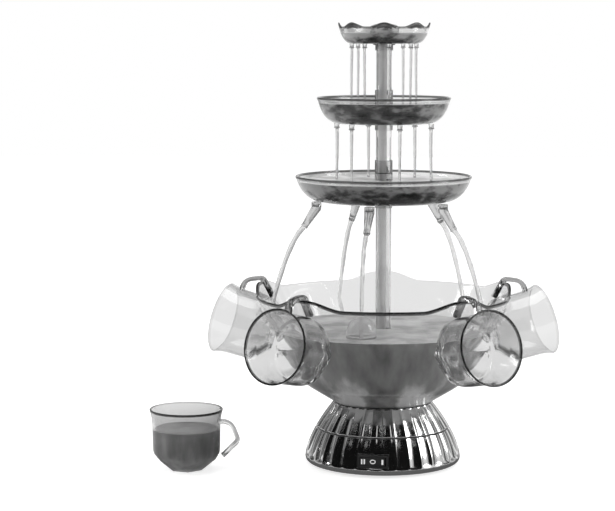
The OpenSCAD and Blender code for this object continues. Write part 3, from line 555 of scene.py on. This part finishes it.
def block(w, h, front, back):
    """Box centred on x = 0 and z = 0 between two distances in front of the middle."""
    xs, ys, zs = (-w / 2, w / 2), (-front, -back), (-h / 2, h / 2)
    verts = [(x, y, z) for x in xs for y in ys for z in zs]
    faces = [(0, 1, 3, 2), (4, 6, 7, 5), (0, 4, 5, 1), (2, 3, 7, 6), (0, 2, 6, 4), (1, 5, 7, 3)]
    return verts, faces


def cut_away(obj, shape, place):
    """Takes a shape in millimetres out of a piece."""
    mesh = bpy.data.meshes.new("cutter")
    mesh.from_pydata([tuple(MM * c for c in v) for v in shape[0]], [], shape[1])
    mesh.transform(place)
    weld(mesh)
    cutter = bpy.data.objects.new("cutter", mesh)
    bpy.context.scene.collection.objects.link(cutter)
    change = obj.modifiers.new("cut", "BOOLEAN")
    change.object = cutter
    change.operation = "DIFFERENCE"
    change.solver = "EXACT"
    bpy.context.view_layer.update()
    made = bpy.data.meshes.new_from_object(obj.evaluated_get(bpy.context.evaluated_depsgraph_get()))
    obj.modifiers.clear()
    obj.data = made
    bpy.data.objects.remove(cutter)


facing_switch = (
    Matrix.Rotation(math.radians(SWITCH_BEARING), 4, "Z") @ Matrix.Translation((0, 0, SWITCH_Z * MM))
)
lower_shell = piece(
    "base_lower_chrome", fluted(lower_shell_rows()), [CHROME], "fountain",
    ["base_lower_shell"],
)
cut_away(lower_shell, block(SWITCH_W + CUT_SLACK, SWITCH_H + CUT_SLACK, BASE_R + 5, 78), facing_switch)
gland_end = (0, CUT_OUTER, GLAND_Z)
gland_hole = tube_along([(0, CUT_INNER, GLAND_Z), gland_end], [GLAND_R + 0.1] * 2, 32)
gland_seat = (0, dome(GLAND_Z) - GLAND_INSET, GLAND_Z)
gland_flat = tube_along([gland_seat, gland_end], [GLAND_FLANGE_R + 0.4] * 2, 48)
cut_away(lower_shell, gland_hole, Matrix.Identity(4))
cut_away(lower_shell, gland_flat, Matrix.Identity(4))
piece(
    "base_upper_chrome", fluted(upper_shell_rows()), [CHROME], "fountain",
    ["base_upper_shell"],
)


# Marks on the rocker, following its dip
def rocker_face(x):
    """Distance of the rocker's face in front of the middle, at a place across it."""
    half = ROCKER_W / 2
    places = [(-half, 0), (-half / 2, 0.8), (0, 1.1), (half / 2, 0.8), (half, 0)]
    for (x0, d0), (x1, d1) in zip(places, places[1:]):
        if x0 <= x <= x1:
            return SWITCH_FRONT + 1 - (d0 + (d1 - d0) * (x - x0) / (x1 - x0))
    return SWITCH_FRONT + 1


def bar_mark(x, w, h):
    depth = max(rocker_face(x - w / 2), rocker_face(x + w / 2)) + 0.1
    verts, faces = block(w, h, depth, depth - 0.5)
    return [(vx + x, vy, vz) for vx, vy, vz in verts], faces


def ring_mark(rx, rz, width, steps=40):
    depth = rocker_face(rx) + 0.1
    verts, faces = [], []
    for i in range(steps):
        w = 2 * math.pi * i / steps
        for grow, y in ((0, -depth), (-width, -depth), (-width, -depth + 1.2), (0, -depth + 1.2)):
            verts.append(((rx + grow) * math.cos(w), y, (rz + grow) * math.sin(w)))
    for i in range(steps):
        for k in range(4):
            a, b = 4 * i + k, 4 * i + (k + 1) % 4
            c, d = 4 * ((i + 1) % steps) + (k + 1) % 4, 4 * ((i + 1) % steps) + k
            faces.append((a, b, c, d))
    return verts, faces


marks = joined(
    bar_mark(MARK_X, MARK_W, MARK_H),
    bar_mark(-MARK_X - TWIN_OFF, TWIN_W, MARK_H),
    bar_mark(-MARK_X + TWIN_OFF, TWIN_W, MARK_H),
    ring_mark(3.4, 2.6, 1),
)
piece("rocker_marks", marks, [MARK], "rocker", place=facing_switch, smooth=False)


# Bowl
def ear_rise(bearing):
    rise = 0
    for ear in EAR_BEARINGS:
        off = math.radians((bearing - ear + 180) % 360 - 180)
        if abs(off) < math.pi / 2:
            x = RIM_R * abs(math.sin(off))
            rise = max(rise, EAR_H * (1 - ease((x - EAR_FLAT) / (EAR_FADE - EAR_FLAT))))
    return rise


def bowl_outside(top):
    slope = Vector((math.cos(BOWL_SLOPE), math.sin(BOWL_SLOPE)))
    lean = Vector((math.sin(FLARE), math.cos(FLARE)))
    hip, neck = Vector((HIP_R, HIP_Z)), Vector((NECK_R, NECK_Z))
    foot = Vector((BOWL_FLOOR_R, BOWL_UNDER))
    wall = [tuple(foot.lerp(hip, t / 6)) for t in range(6)]
    wall += curve4(hip, hip + HIP_PULL * slope, neck - NECK_PULL * lean, neck, 18)
    end = neck + lean * ((top - NECK_Z) / lean.y)
    wall += [tuple(neck.lerp(end, t)) for t in FLARE_ROWS]
    return wall


def bowl_loop_at(bearing):
    outside = bowl_outside(RIM_Z + ear_rise(bearing) - BOWL_WALL / 2)
    inside = shifted(outside, BOWL_WALL)
    floor = BOWL_UNDER + BOWL_WALL
    rim = rim_arc(outside[-1], inside[-1], Vector(outside[-1]) - Vector(outside[-2]))
    loop = [(SHAFT_HOLE_R, BOWL_UNDER)] + outside + rim + list(reversed(inside[2:]))
    return loop + [(BOWL_FLOOR_R - 2, floor), (SHAFT_HOLE_R, floor)]


BOWL_CORNERS = sharp_corners(bowl_loop_at(0))


def bowl_profile(bearing):
    return softened(bowl_loop_at(bearing), 1, BOWL_CORNERS)


def drink_side(level, inside):
    """Side of what fills a dish, a hair into the wall so that no air shows, and its radius at the level."""
    wall = shifted(inside, -DRINK_GRIP)
    under = [p for p in wall if p[1] < level - NEAR_LEVEL]
    first_over = next(p for p in wall if p[1] >= level - NEAR_LEVEL)
    share = (level - under[-1][1]) / (first_over[1] - under[-1][1])
    edge = under[-1][0] + share * (first_over[0] - under[-1][0])
    return under, edge


def bowl_look(r, z, bearing):
    """Painted dark shade over the front of the rim, further down outside than inside; wetted low down, where
    the darker tint is painted shade too.
    """
    below = RIM_Z + ear_rise(bearing) - z
    outside = r > NECK_R + (z - NECK_Z) * math.tan(FLARE) - BOWL_WALL / 2
    if abs(bearing) < BOWL_SHADED_RIM_SPAN and below < (BOWL_SHADED_RIM_OUT if outside else BOWL_SHADED_RIM_IN):
        return 1
    return 2 if z < HIP_Z else 0


# The bowl's front rim and low wall carry painted shade, placed by bowl_look
piece(
    "bowl_clear", lathe(bowl_profile, 240), [CLEAR, PAINTED_DARK_EDGE_PLASTIC, WETTED_SHADED], "fountain", ["bowl"],
    look_at=bowl_look,
)

bowl_inside = shifted(bowl_outside(RIM_Z), BOWL_WALL)
under, edge = drink_side(BOWL_LEVEL, [p for p in bowl_inside if p[1] > BOWL_UNDER + BOWL_WALL + 1])
bowl_fill = [(PUMP_R + DRINK_GAP, PUMP_Z0 + 5)] + under
bowl_fill += [
    (edge, BOWL_LEVEL), (edge - 3, BOWL_LEVEL - NEAR_LEVEL), (TUBE_R + 4, BOWL_LEVEL - NEAR_LEVEL),
    (TUBE_R + DRINK_GAP, BOWL_LEVEL), (TUBE_R + DRINK_GAP, PUMP_HUB_TOP + 2),
    (HUB_R + DRINK_GAP, PUMP_HUB_TOP), (FLANGE_R + DRINK_GAP, PUMP_TOP + FLANGE_T + DRINK_GAP),
    (PUMP_R + DRINK_GAP, PUMP_TOP + 0.5),
]
bowl_loop = softened(bowl_fill, 1.5)
piece("bowl_drink", lathe(lambda b: bowl_loop), [BOWL_DRINK], "fountain")


# Pump cover
def pump_loop():
    outside = [
        (PUMP_R, PUMP_Z0), (PUMP_R, PUMP_TOP - 3), (PUMP_R - 3, PUMP_TOP), (FLANGE_R, PUMP_TOP),
        (FLANGE_R, PUMP_TOP + FLANGE_T), (HUB_R, PUMP_TOP + FLANGE_T), (HUB_R, PUMP_HUB_TOP),
    ]
    inside = [
        (SOCKET_R, PUMP_HUB_TOP), (SOCKET_R, PUMP_TOP + SEAT_RISE), (BORE_R, PUMP_TOP + SEAT_RISE),
        (BORE_R, PUMP_TOP - PUMP_WALL), (PUMP_R - PUMP_WALL, PUMP_TOP - PUMP_WALL),
        (PUMP_R - PUMP_WALL, PUMP_Z0),
    ]
    return softened(outside + inside, 0.5)


piece(
    "pump_cover_clear", lathe(lambda b: pump_loop(), 96), [CLEAR], "fountain",
    ["pump_cover", "pump_outlet"],
)


# Tower
def tier_outside(tier, rim_r, rim_z, top):
    """Wall of a tier up to a height, along a curve that ends at rim_r and rim_z."""
    pull = (tier["floor_r"] + (rim_r - tier["floor_r"]) * 0.75, tier["floor"])
    share = math.sqrt((top - tier["floor"]) / (rim_z - tier["floor"]))
    return curve3((tier["floor_r"], tier["floor"]), pull, (rim_r, rim_z), 18, share)


def scallop(bearing):
    fade = (TIERS["top"]["rim_r"] - 6) * math.sin(math.pi / SCALLOPS)
    pitch = 360 / SCALLOPS
    off = math.radians((bearing + pitch / 2) % pitch - pitch / 2)
    return SCALLOP_H * (1 - ease(TIERS["top"]["rim_r"] * abs(math.sin(off)) / fade))


def tier_wall_at(name, bearing):
    tier = TIERS[name]
    if name == "top":
        return tier_outside(
            tier, tier["rim_r"] + 1.5, tier["rim_z"] + SCALLOP_H + 3, tier["rim_z"] + scallop(bearing) - 1
        )
    return tier_outside(tier, tier["rim_r"], tier["rim_z"], tier["rim_z"])


def bead(r, z, radius):
    return [
        (r - TIER_WALL / 2 + radius * math.cos(w), z + radius * math.sin(w))
        for w in [math.radians(a) for a in range(-40, 221, 20)]
    ]


def tier_loop_at(name, bearing):
    tier = TIERS[name]
    floor, hub_top = tier["floor"], tier["hub_top"]
    outside = tier_wall_at(name, bearing)
    inside = shifted(outside, TIER_WALL)
    if name == "top":
        rim = rim_arc(outside[-1], inside[-1], Vector(outside[-1]) - Vector(outside[-2]))
    else:
        rim = bead(tier["rim_r"], tier["rim_z"], RIM_BEAD_R)
        outside, inside = outside[:-1], inside[:-1]
    flange = floor - SEAT_GAP - FLANGE_T
    loop = [(HUB_R, floor - SKIRT), (HUB_R, flange), (FLANGE_R, flange), (FLANGE_R, floor)]
    loop += outside + rim + list(reversed(inside))
    loop += [(HUB_R, floor + TIER_WALL), (HUB_R, hub_top)]
    if name != "top":
        loop += [(SOCKET_R, hub_top), (SOCKET_R, hub_top - SOCKET_DEPTH), (BORE_R, hub_top - SOCKET_DEPTH)]
    else:
        loop += [(BORE_R, hub_top)]
    return loop + [(BORE_R, floor + SEAT_RISE), (SOCKET_R, floor + SEAT_RISE), (SOCKET_R, floor - SKIRT)]


def tier_profile(name):
    corners = sharp_corners(tier_loop_at(name, 0))
    return lambda bearing: softened(tier_loop_at(name, bearing), 0.5, corners)


def spouts(name, count, first, ring_r, r, length):
    floor = TIERS[name]["floor"]
    parts = []
    for k in range(count):
        x, y, _ = at(ring_r, first + 360 * k / count, 0)
        heights = [0, -0.5 * length, -length + 0.5 * r, -length + 0.45 * r, -length]
        radii = [1.1 * r, 0.98 * r, 0.9 * r, 1.15 * r, 1.15 * r]
        parts.append(tube_along([(x, y, floor - 0.05 + h) for h in heights], radii))
    return joined(*parts)


def tier_look(tier, r, z, bearing):
    """Painted dark shade on the rim and the spouts' ends, the sleeve painted lighter on the middle and top
    tiers and darker on the lower tier, painted grey shade in front above the drink.
    """
    if r > tier["rim_r"] - BEAD_BAND and z > tier["rim_z"] - BEAD_DROP:
        return 3 if r > tier["rim_r"] - BEAD_EDGE else 1
    if r < HUB_R + 0.5:
        return tier["sleeve"]
    if abs(bearing) < SHADED_FRONT_BAND and z > tier["wet_z"]:
        return 4
    return int(tier["spout_end"] < z < tier["spout_end"] + SPOUT_LIP)


for name, tier in TIERS.items():
    shape = lathe(tier_profile(name))
    if name == "middle":
        shape = joined(shape, spouts(name, MIDDLE_SPOUTS, MIDDLE_FIRST, MIDDLE_RING_R, 3, 6))
    if name == "top":
        shape = joined(shape, spouts(name, TOP_SPOUTS, TOP_FIRST, TOP_RING_R, 2.5, 5))
    if name == "lower":
        spigots = []
        for k in range(NOZZLES):
            x, y, _ = at(NOZZLE_RING_R, NOZZLE_FIRST + 360 * k / NOZZLES, 0)
            spigots.append(tube_along([(x, y, SPIGOT_TOP), (x, y, SPIGOT_END)], [SPIGOT_R] * 2))
        shape = joined(shape, *spigots)
    # Looks of a tier: the clear plastic and its painted light and painted shade copies, placed by tier_look
    piece(
        name + "_tier_clear", shape, [CLEAR, PAINTED_DARK_PLASTIC, PAINTED_LIGHT_PLASTIC, PAINTED_DARK_EDGE_PLASTIC, PAINTED_SHADE_PLASTIC], "fountain",
        [name + "_tier", name + "_collar"], look_at=lambda r, z, b, t=tier: tier_look(t, r, z, b),
    )
    level = TIER_LEVELS[name]
    under, edge = drink_side(level, shifted(tier_wall_at(name, SCALLOP_DIP), TIER_WALL))
    fill = [(HUB_R - DRINK_GRIP, tier["floor"] + TIER_WALL - DRINK_GRIP)] + under
    fill += [(edge, level), (edge - 2, level - 0.5), (HUB_R + 3, level - 0.5), (HUB_R - DRINK_GRIP, level)]
    loop = softened(fill, 1)
    piece(name + "_drink", lathe(lambda b, lp=loop: lp, 96), [TIER_DRINKS[name]], "fountain")

# Drink that wells up in the top tier
well = TIER_LEVELS["top"]
bubble = [(0, well)] + curve3((17.5, well), (18.5, well + 10), (10, well + 10.5), 10)
bubble += [(4, well + 9.5), (0, well + 9)]
piece("top_bubble", lathe(lambda b: bubble, 64, closed=False), [TIER_DRINKS["top"]], "fountain")

for name, (z0, z1) in TUBES.items():
    wall = softened([(BORE_R, z0), (TUBE_R, z0), (TUBE_R, z1), (BORE_R, z1)], 0.3)
    # Painted light: the middle tube takes a paler copy of the clear plastic than the other tubes
    look = PAINTED_LIGHT_PLASTIC if name == "middle" else CLEAR
    piece(
        name + "_tube_clear", lathe(lambda b, w=wall: w, 64), [look], "fountain",
        [name + "_tube"],
    )

riser = tube_along([(RISER_X, 0, z) for z in RISER_HEIGHTS], [RISER_R] * len(RISER_HEIGHTS), 48)
piece("riser_drink", riser, [RISING], "fountain")


# Swivel nozzles and their streams
def fallen(start, end, steps, bend):
    """Path of drink that leaves a nozzle and falls faster and faster; it slows sideways if bend is over 1."""
    path = []
    for i in range(steps + 1):
        t = i / steps
        place = start.lerp(end, 1 - (1 - t) ** bend)
        place.z = start.z + (end.z - start.z) * (0.35 * t + 0.65 * t * t)
        path.append(place)
    return path


def nozzle_outward(k):
    b = math.radians(NOZZLE_FIRST + 360 * k / NOZZLES)
    return Vector((math.sin(b), -math.cos(b), 0))


for k in range(NOZZLES):
    out_dir = nozzle_outward(k)
    knee = NOZZLE_RING_R * out_dir + Vector((0, 0, NOZZLE_KNEE_Z))
    lean = math.sin(NOZZLE_LEAN) * out_dir - math.cos(NOZZLE_LEAN) * Vector((0, 0, 1))
    down = Vector((0, 0, -1))
    path = [knee - rise * down for rise, r in NOZZLE_CAP] + [knee + 0.3 * (down + lean)]
    path += [knee + NOZZLE_LEN * share * lean for share, r in NOZZLE_BARREL]
    radii = [r for rise, r in NOZZLE_CAP] + [NOZZLE_CAP[-1][1]] + [r for share, r in NOZZLE_BARREL]
    body = "nozzle_%d" % (k + 1)
    shape = tube_along([tuple(p) for p in path], radii, 32)
    piece(body + "_clear", shape, [FROSTED], body, [body])
    tip = knee + (NOZZLE_LEN + 0.1) * lean
    if k == 0:
        splash = Vector(at(SPLASH_R, SPLASH_BEARING, BOWL_LEVEL + 0.5))
        fall = fallen(tip, splash, STREAM_STEPS, SPLASH_BEND)
    else:
        hit = WALL_HIT_R * out_dir + Vector((0, 0, WALL_HIT_Z))
        foot = LANDING_R * out_dir + Vector((0, 0, BOWL_LEVEL + 0.5))
        fall = fallen(tip, hit, STREAM_STEPS - RUN_STEPS, 1)
        fall += [fall[-1].lerp(foot, i / RUN_STEPS) for i in range(1, RUN_STEPS + 1)]
    widths = [
        STREAM_R - STREAM_TAPER * t + STREAM_RIPPLE * math.sin(5 * t + k) for t in range(STREAM_STEPS + 1)
    ]
    piece(body + "_stream", tube_along([tuple(p) for p in fall], widths, 12), [RUNNING], body)


# Bell of drink where the front stream lands
def splash_loop():
    outside = curve4((18, 0), (18.5, 16), (12, 24.5), (0, 25), 12)
    return outside + list(reversed(shifted(outside, 1)[:-1])) + [(17, 0)]


bell = Matrix.Translation(Vector(at(SPLASH_R, SPLASH_BEARING, BOWL_LEVEL - 0.4)) * MM)
piece("nozzle_1_splash", lathe(lambda b: splash_loop(), 64), [RUNNING], "nozzle_1", place=bell)


# Straight streams from the two upper tiers
def straight_streams(count, first, ring_r, top, bottom, width, steps=12):
    parts = []
    for k in range(count):
        b = first + 360 * k / count
        path, radii = [], []
        for i in range(steps + 1):
            sway = 0.4 * math.sin(2 * k + 3 * i / steps)
            path.append(at(ring_r + sway, b, top + (bottom - top) * i / steps))
            radii.append(width * (1.05 - 0.25 * i / steps + 0.06 * math.sin(4 * i + k)))
        parts.append(tube_along(path, radii, 12))
    return joined(*parts)


middle_streams = straight_streams(
    MIDDLE_SPOUTS, MIDDLE_FIRST, MIDDLE_RING_R, MIDDLE_STREAM_TOP, TIER_LEVELS["lower"], MIDDLE_STREAM_R
)
piece("middle_streams", middle_streams, [RUNNING], "fountain")
top_streams = straight_streams(
    TOP_SPOUTS, TOP_FIRST, TOP_RING_R, TOP_STREAM_TOP, TIER_LEVELS["middle"], TOP_STREAM_R
)
piece("top_streams", top_streams, [RUNNING], "fountain")


# Cups
def hook_point(along, off):
    return Vector(
        (
            CUP_FOOT_R + along * math.sin(FLAT_ANGLE) + off * math.cos(FLAT_ANGLE),
            along * math.cos(FLAT_ANGLE) - off * math.sin(FLAT_ANGLE),
        )
    )


def rounded_corner(before, corner, after, cut):
    start = corner + cut * (before - corner).normalized()
    end = corner + cut * (after - corner).normalized()
    return curve3(start, corner, end, 8)


def hook_line():
    grip = FLAT_ANGLE + GRIP_LEAN
    knuckle = hook_point(HOOK_REACH + HOOK_T / 2 * math.tan(grip / 2), LEG_OFF + HOOK_T / 2)
    elbow = Vector((knuckle.x - (ARM_Z - knuckle.y) * math.tan(GRIP_LEAN), ARM_Z))
    tip = hook_point(HOOK_END, LEG_OFF + HOOK_T / 2)
    start = Vector((CUP_R + 0.2, ARM_Z))
    line = [tuple(start)] + rounded_corner(start, elbow, knuckle, ELBOW_ROUND)
    return line + rounded_corner(elbow, knuckle, tip, KNUCKLE_ROUND) + [tuple(tip)]


def hook_shape():
    """Ribbon with rounded edges along the hook's middle line, in the cup's own frame."""
    line = hook_line()
    sides, bulge = 20, 0.55
    verts, faces = [], []
    section = []
    for k in range(sides):
        w = 2 * math.pi * k / sides
        c, s = math.cos(w), math.sin(w)
        off = math.copysign(abs(c) ** bulge, c) * HOOK_T / 2
        across = math.copysign(abs(s) ** bulge, s) * HOOK_W / 2
        section.append((off, across))
    for i, p in enumerate(line):
        a, b = Vector(line[max(0, i - 1)]), Vector(line[min(len(line) - 1, i + 1)])
        along = (b - a).normalized()
        for off, across in section:
            verts.append((p[0] - off * along.y, across, p[1] + off * along.x))
    n = len(section)
    for i in range(len(line) - 1):
        for k in range(n):
            a, b = i * n + k, i * n + (k + 1) % n
            faces.append((a, b, b + n, a + n))
    faces.append(tuple(reversed(range(n))))
    faces.append(tuple(range((len(line) - 1) * n, len(line) * n)))
    return verts, faces


def cup_inside():
    floor_r, side = CUP_FOOT_R - 1.5, CUP_R - CUP_WALL
    side_z = (side - 3 - CUP_FOOT_R + 2.8) / math.tan(FLAT_ANGLE)
    low = [(0, CUP_FLOOR), (floor_r * 0.5, CUP_FLOOR), (floor_r, CUP_FLOOR), (floor_r + 2.2, CUP_FLOOR + 1)]
    turn = curve3((side - 3, side_z), (side - 0.3, side_z + 3.5), (side, side_z + 11), 8)
    ramp_up = [tuple(Vector(low[-1]).lerp(Vector(turn[0]), t / 5)) for t in range(1, 5)]
    rim = (CUP_RIM_R - CUP_WALL, CUP_H - CUP_WALL / 2)
    upper = curve3((side + 0.3, CUP_H * 0.76), (side + 1, CUP_H * 0.89), rim, 8)
    return low + ramp_up + turn + upper


def cup_outside():
    foot_corner = CUP_FOOT_R / math.cos(math.pi / CUP_FLATS) + 0.5
    lower = curve3((foot_corner, 0), (CUP_R - 1, CUP_H * 0.04), (CUP_R - 0.2, CUP_H * 0.365), 14)
    rim = (CUP_RIM_R, CUP_H - CUP_WALL / 2)
    upper = curve3((CUP_R + 0.5, CUP_H * 0.76), (CUP_R + 1, CUP_H * 0.89), rim, 8)
    return [(0, 0), (foot_corner * 0.5, 0)] + lower + [(CUP_R, CUP_H * 0.5)] + upper


CUP_OUTSIDE, CUP_INSIDE = cup_outside(), cup_inside()


def cup_profile(bearing):
    """Turned body whose foot is cut by flats that lean outwards."""
    pitch = 360 / CUP_FLATS
    off = math.radians((bearing - 90 + pitch / 2) % pitch - pitch / 2)
    outside = [
        (min(r, (CUP_FOOT_R + z * math.tan(FLAT_ANGLE)) / math.cos(off)), z) for r, z in CUP_OUTSIDE
    ]
    return outside + rim_arc(CUP_OUTSIDE[-1], CUP_INSIDE[-1], (0, 1)) + list(reversed(CUP_INSIDE))


def cup_shape():
    return joined(lathe(cup_profile, 144, closed=False), hook_shape())


def cup_look(r, z, bearing):
    """The handle, the rim and the wall each have a look, which the cups fill with the clear plastic and
    darker copies that are painted shade.
    """
    if r > CUP_RIM_R:
        return 2
    return int(z > CUP_H - CUP_SHADED_RIM_BAND)


def standing_look(r, z, bearing):
    """As on the other cups, with the painted dark shade on the rim kept to the front half and the far half of
    the rim left clear.
    """
    look = cup_look(r, z, bearing)
    return 0 if look == 1 and abs(bearing) > CUP_SHADED_RIM_SPAN else look


for name, bearing in HUNG.items():
    # Painted shade: the front cups' walls and rims are painted darker than those of the side cups, which are
    # the same cups
    wall, rim = (PAINTED_SHADE_PLASTIC, PAINTED_DARK_EDGE_PLASTIC) if abs(bearing) < 90 else (CLEAR, PAINTED_SHADE_PLASTIC)
    place = (
        Matrix.Rotation(math.radians(bearing), 4, "Z")
        @ Matrix.Translation((0, -HUNG_R * MM, HUNG_Z * MM))
        @ Matrix.Rotation(math.radians(90 - CUP_TILT), 4, "X")
        @ Matrix.Rotation(math.radians(90), 4, "Z")
    )
    piece(
        name + "_clear", cup_shape(), [wall, rim, PAINTED_DARK_PLASTIC], name, [name], place,
        look_at=cup_look,
    )

stand = Matrix.Translation(Vector(STANDING) * MM) @ Matrix.Rotation(math.radians(STANDING_TURN), 4, "Z")
# The standing cup's wall takes painted shade and its rim a painted dark edge; its handle stays clear
piece(
    "cup_standing_clear", cup_shape(), [PAINTED_SHADE_PLASTIC, PAINTED_DARK_EDGE_PLASTIC, CLEAR], "cup_standing",
    ["cup_standing"], stand, look_at=standing_look,
)
cup_fill = [p for p in shifted(CUP_INSIDE, -DRINK_GRIP) if p[1] < CUP_LEVEL - NEAR_LEVEL]
fill_r = CUP_R - CUP_WALL + DRINK_GRIP
cup_fill += [(fill_r, CUP_LEVEL), (fill_r - 2, CUP_LEVEL - 0.5), (0, CUP_LEVEL - 0.5)]
piece("cup_drink", lathe(lambda b: cup_fill, 96, closed=False), [CUP_DRINK], "cup_standing", place=stand)


# Stage, light and camera
def stage_mesh(name, verts, faces, mat):
    mesh = bpy.data.meshes.new(name)
    mesh.from_pydata(verts, [], faces)
    mesh.materials.append(mat)
    obj = bpy.data.objects.new(name, mesh)
    bpy.context.scene.collection.objects.link(obj)
    return obj


def seen_through(tree):
    """1 for rays that pass through a clear piece or bounce off a shiny one."""
    path = tree.nodes.new("ShaderNodeLightPath")
    either = tree.nodes.new("ShaderNodeMath")
    either.operation = "MAXIMUM"
    tree.links.new(path.outputs["Is Glossy Ray"], either.inputs[0])
    tree.links.new(path.outputs["Is Transmission Ray"], either.inputs[1])
    return either.outputs[0]


def floor_material():
    mat, tree, shader, out = new_material("floor")
    tree.links.new(ramp(tree, noise(tree, 3), [(0.3, 0.60), (0.7, 0.62)]), shader.inputs["Base Color"])
    shader.inputs["Roughness"].default_value = 0.9
    glow = tree.nodes.new("ShaderNodeEmission")
    glow.inputs["Strength"].default_value = 0.7
    add = tree.nodes.new("ShaderNodeAddShader")
    tree.links.new(shader.outputs[0], add.inputs[0])
    tree.links.new(glow.outputs[0], add.inputs[1])
    white = tree.nodes.new("ShaderNodeEmission")
    coords = tree.nodes.new("ShaderNodeTexCoord")
    away = tree.nodes.new("ShaderNodeVectorMath")
    away.operation = "LENGTH"
    tree.links.new(coords.outputs["Object"], away.inputs[0])
    path = tree.nodes.new("ShaderNodeLightPath")
    # Painted shadow: for glossy rays the floor is painted dark close to the object and white further out
    near = ramp(tree, away.outputs["Value"], [(0.12, 0.12), (0.45, 1)])
    shade = tree.nodes.new("ShaderNodeMix")
    shade.data_type = "RGBA"
    tree.links.new(path.outputs["Is Glossy Ray"], shade.inputs["Factor"])
    shade.inputs["A"].default_value = (1, 1, 1, 1)
    tree.links.new(near, shade.inputs["B"])
    tree.links.new(shade.outputs["Result"], white.inputs["Color"])
    mix = tree.nodes.new("ShaderNodeMixShader")
    tree.links.new(seen_through(tree), mix.inputs[0])
    tree.links.new(add.outputs[0], mix.inputs[1])
    tree.links.new(white.outputs[0], mix.inputs[2])
    tree.links.new(mix.outputs[0], out.inputs["Surface"])
    return mat


def card(name, bearings, heights, radius, darkest, palest):
    """Curved screen that only reflections and clear pieces show."""
    mat = bpy.data.materials.new(name)
    mat.use_nodes = True
    tree = mat.node_tree
    tree.nodes.clear()
    out = tree.nodes.new("ShaderNodeOutputMaterial")
    glow = tree.nodes.new("ShaderNodeEmission")
    streaks = noise(tree, 6, 2, (1, 1, 0.1))
    tree.links.new(ramp(tree, streaks, [(0.4, darkest), (0.6, palest)]), glow.inputs["Color"])
    tree.links.new(glow.outputs[0], out.inputs["Surface"])
    steps = 12
    verts, faces = [], []
    for i in range(steps + 1):
        b = bearings[0] + (bearings[1] - bearings[0]) * i / steps
        verts += [at(radius, b, heights[0]), at(radius, b, heights[1])]
    for i in range(steps):
        faces.append((2 * i, 2 * i + 2, 2 * i + 3, 2 * i + 1))
    obj = stage_mesh(name, verts, faces, mat)
    obj.visible_camera = False
    obj.visible_diffuse = False
    obj.visible_shadow = False
    return obj


# The stage is in metres
FLOOR_HALF = 6
floor_corners = [(x * FLOOR_HALF, y * FLOOR_HALF, 0) for x, y in ((-1, -1), (1, -1), (1, 1), (-1, 1))]
stage_mesh("floor", floor_corners, [(0, 1, 2, 3)], floor_material())
CARD_R, CARD_HEIGHTS = 2.2, (0.002, 1.6)
card("front_dark", (-90, 60), (0.002, 4.5), CARD_R, 0.002, 0.003)
card("right_pale", (60, 90), CARD_HEIGHTS, CARD_R, 0.55, 1)
card("right_dark", (90, 145), CARD_HEIGHTS, CARD_R, 0.06, 0.8)
card("left_dark", (-150, -90), CARD_HEIGHTS, CARD_R, 0.05, 0.4)
card("high_strip", (-16, -9), (1.9, 4.4), 2.1, 0.7, 1)
card("back_left", (-180, -150), CARD_HEIGHTS, CARD_R, 0.3, 0.8)


def area_lamp(name, place, aim, size, power):
    data = bpy.data.lights.new(name, "AREA")
    data.shape = "RECTANGLE"
    data.size, data.size_y = size
    data.energy = power
    obj = bpy.data.objects.new(name, data)
    obj.location = place
    obj.rotation_mode = "QUATERNION"
    obj.rotation_quaternion = (Vector(aim) - Vector(place)).to_track_quat("-Z", "Y")
    bpy.context.scene.collection.objects.link(obj)
    return obj


area_lamp("left_lamp", (-2.0, 0.4, 1.1), (0, 0, 0.25), (0.5, 1.4), 18).visible_glossy = False
area_lamp("right_lamp", (2.0, -0.3, 1.0), (0, 0, 0.25), (0.9, 1.4), 20)
area_lamp("top_lamp", (0, 0.2, 2.2), (0, 0, 0.2), (1.4, 1.4), 14)

world = bpy.data.worlds.new("studio")
bpy.context.scene.world = world
world.use_nodes = True
tree = world.node_tree
tree.nodes.clear()
out = tree.nodes.new("ShaderNodeOutputWorld")
sky = tree.nodes.new("ShaderNodeBackground")
studio = tree.nodes.new("ShaderNodeBackground")
room = tree.nodes.new("ShaderNodeBackground")
direction = tree.nodes.new("ShaderNodeTexCoord")
split = tree.nodes.new("ShaderNodeSeparateXYZ")
tree.links.new(direction.outputs["Generated"], split.inputs[0])
dim_overhead = ramp(tree, split.outputs[2], [(0.15, 1.0), (0.45, 0.3), (1.0, 0.15)])
tree.links.new(dim_overhead, studio.inputs["Color"])
room.inputs["Color"].default_value = (1, 1, 1, 1)
room.inputs["Strength"].default_value = 0.6
sky.inputs["Color"].default_value = (1, 1, 1, 1)
through = tree.nodes.new("ShaderNodeMixShader")
tree.links.new(seen_through(tree), through.inputs[0])
tree.links.new(room.outputs[0], through.inputs[1])
tree.links.new(studio.outputs[0], through.inputs[2])
path = tree.nodes.new("ShaderNodeLightPath")
direct = tree.nodes.new("ShaderNodeMixShader")
tree.links.new(path.outputs["Is Camera Ray"], direct.inputs[0])
tree.links.new(through.outputs[0], direct.inputs[1])
tree.links.new(sky.outputs[0], direct.inputs[2])
tree.links.new(direct.outputs[0], out.inputs["Surface"])

camera_data = bpy.data.cameras.new("camera")
camera_data.lens = 117
camera_data.sensor_width = 36
camera = bpy.data.objects.new("camera", camera_data)
bpy.context.scene.collection.objects.link(camera)
camera.location = (0, -2.4, 0.5212)
aim = Vector((-0.0916, 0, 0.2533))
camera.rotation_mode = "QUATERNION"
camera.rotation_quaternion = (aim - camera.location).to_track_quat("-Z", "Y")
bpy.context.scene.camera = camera

scene = bpy.context.scene
scene.view_settings.view_transform = "Standard"
scene.cycles.max_bounces = 24
scene.cycles.transmission_bounces = 24
scene.cycles.glossy_bounces = 8
scene.cycles.transparent_max_bounces = 24
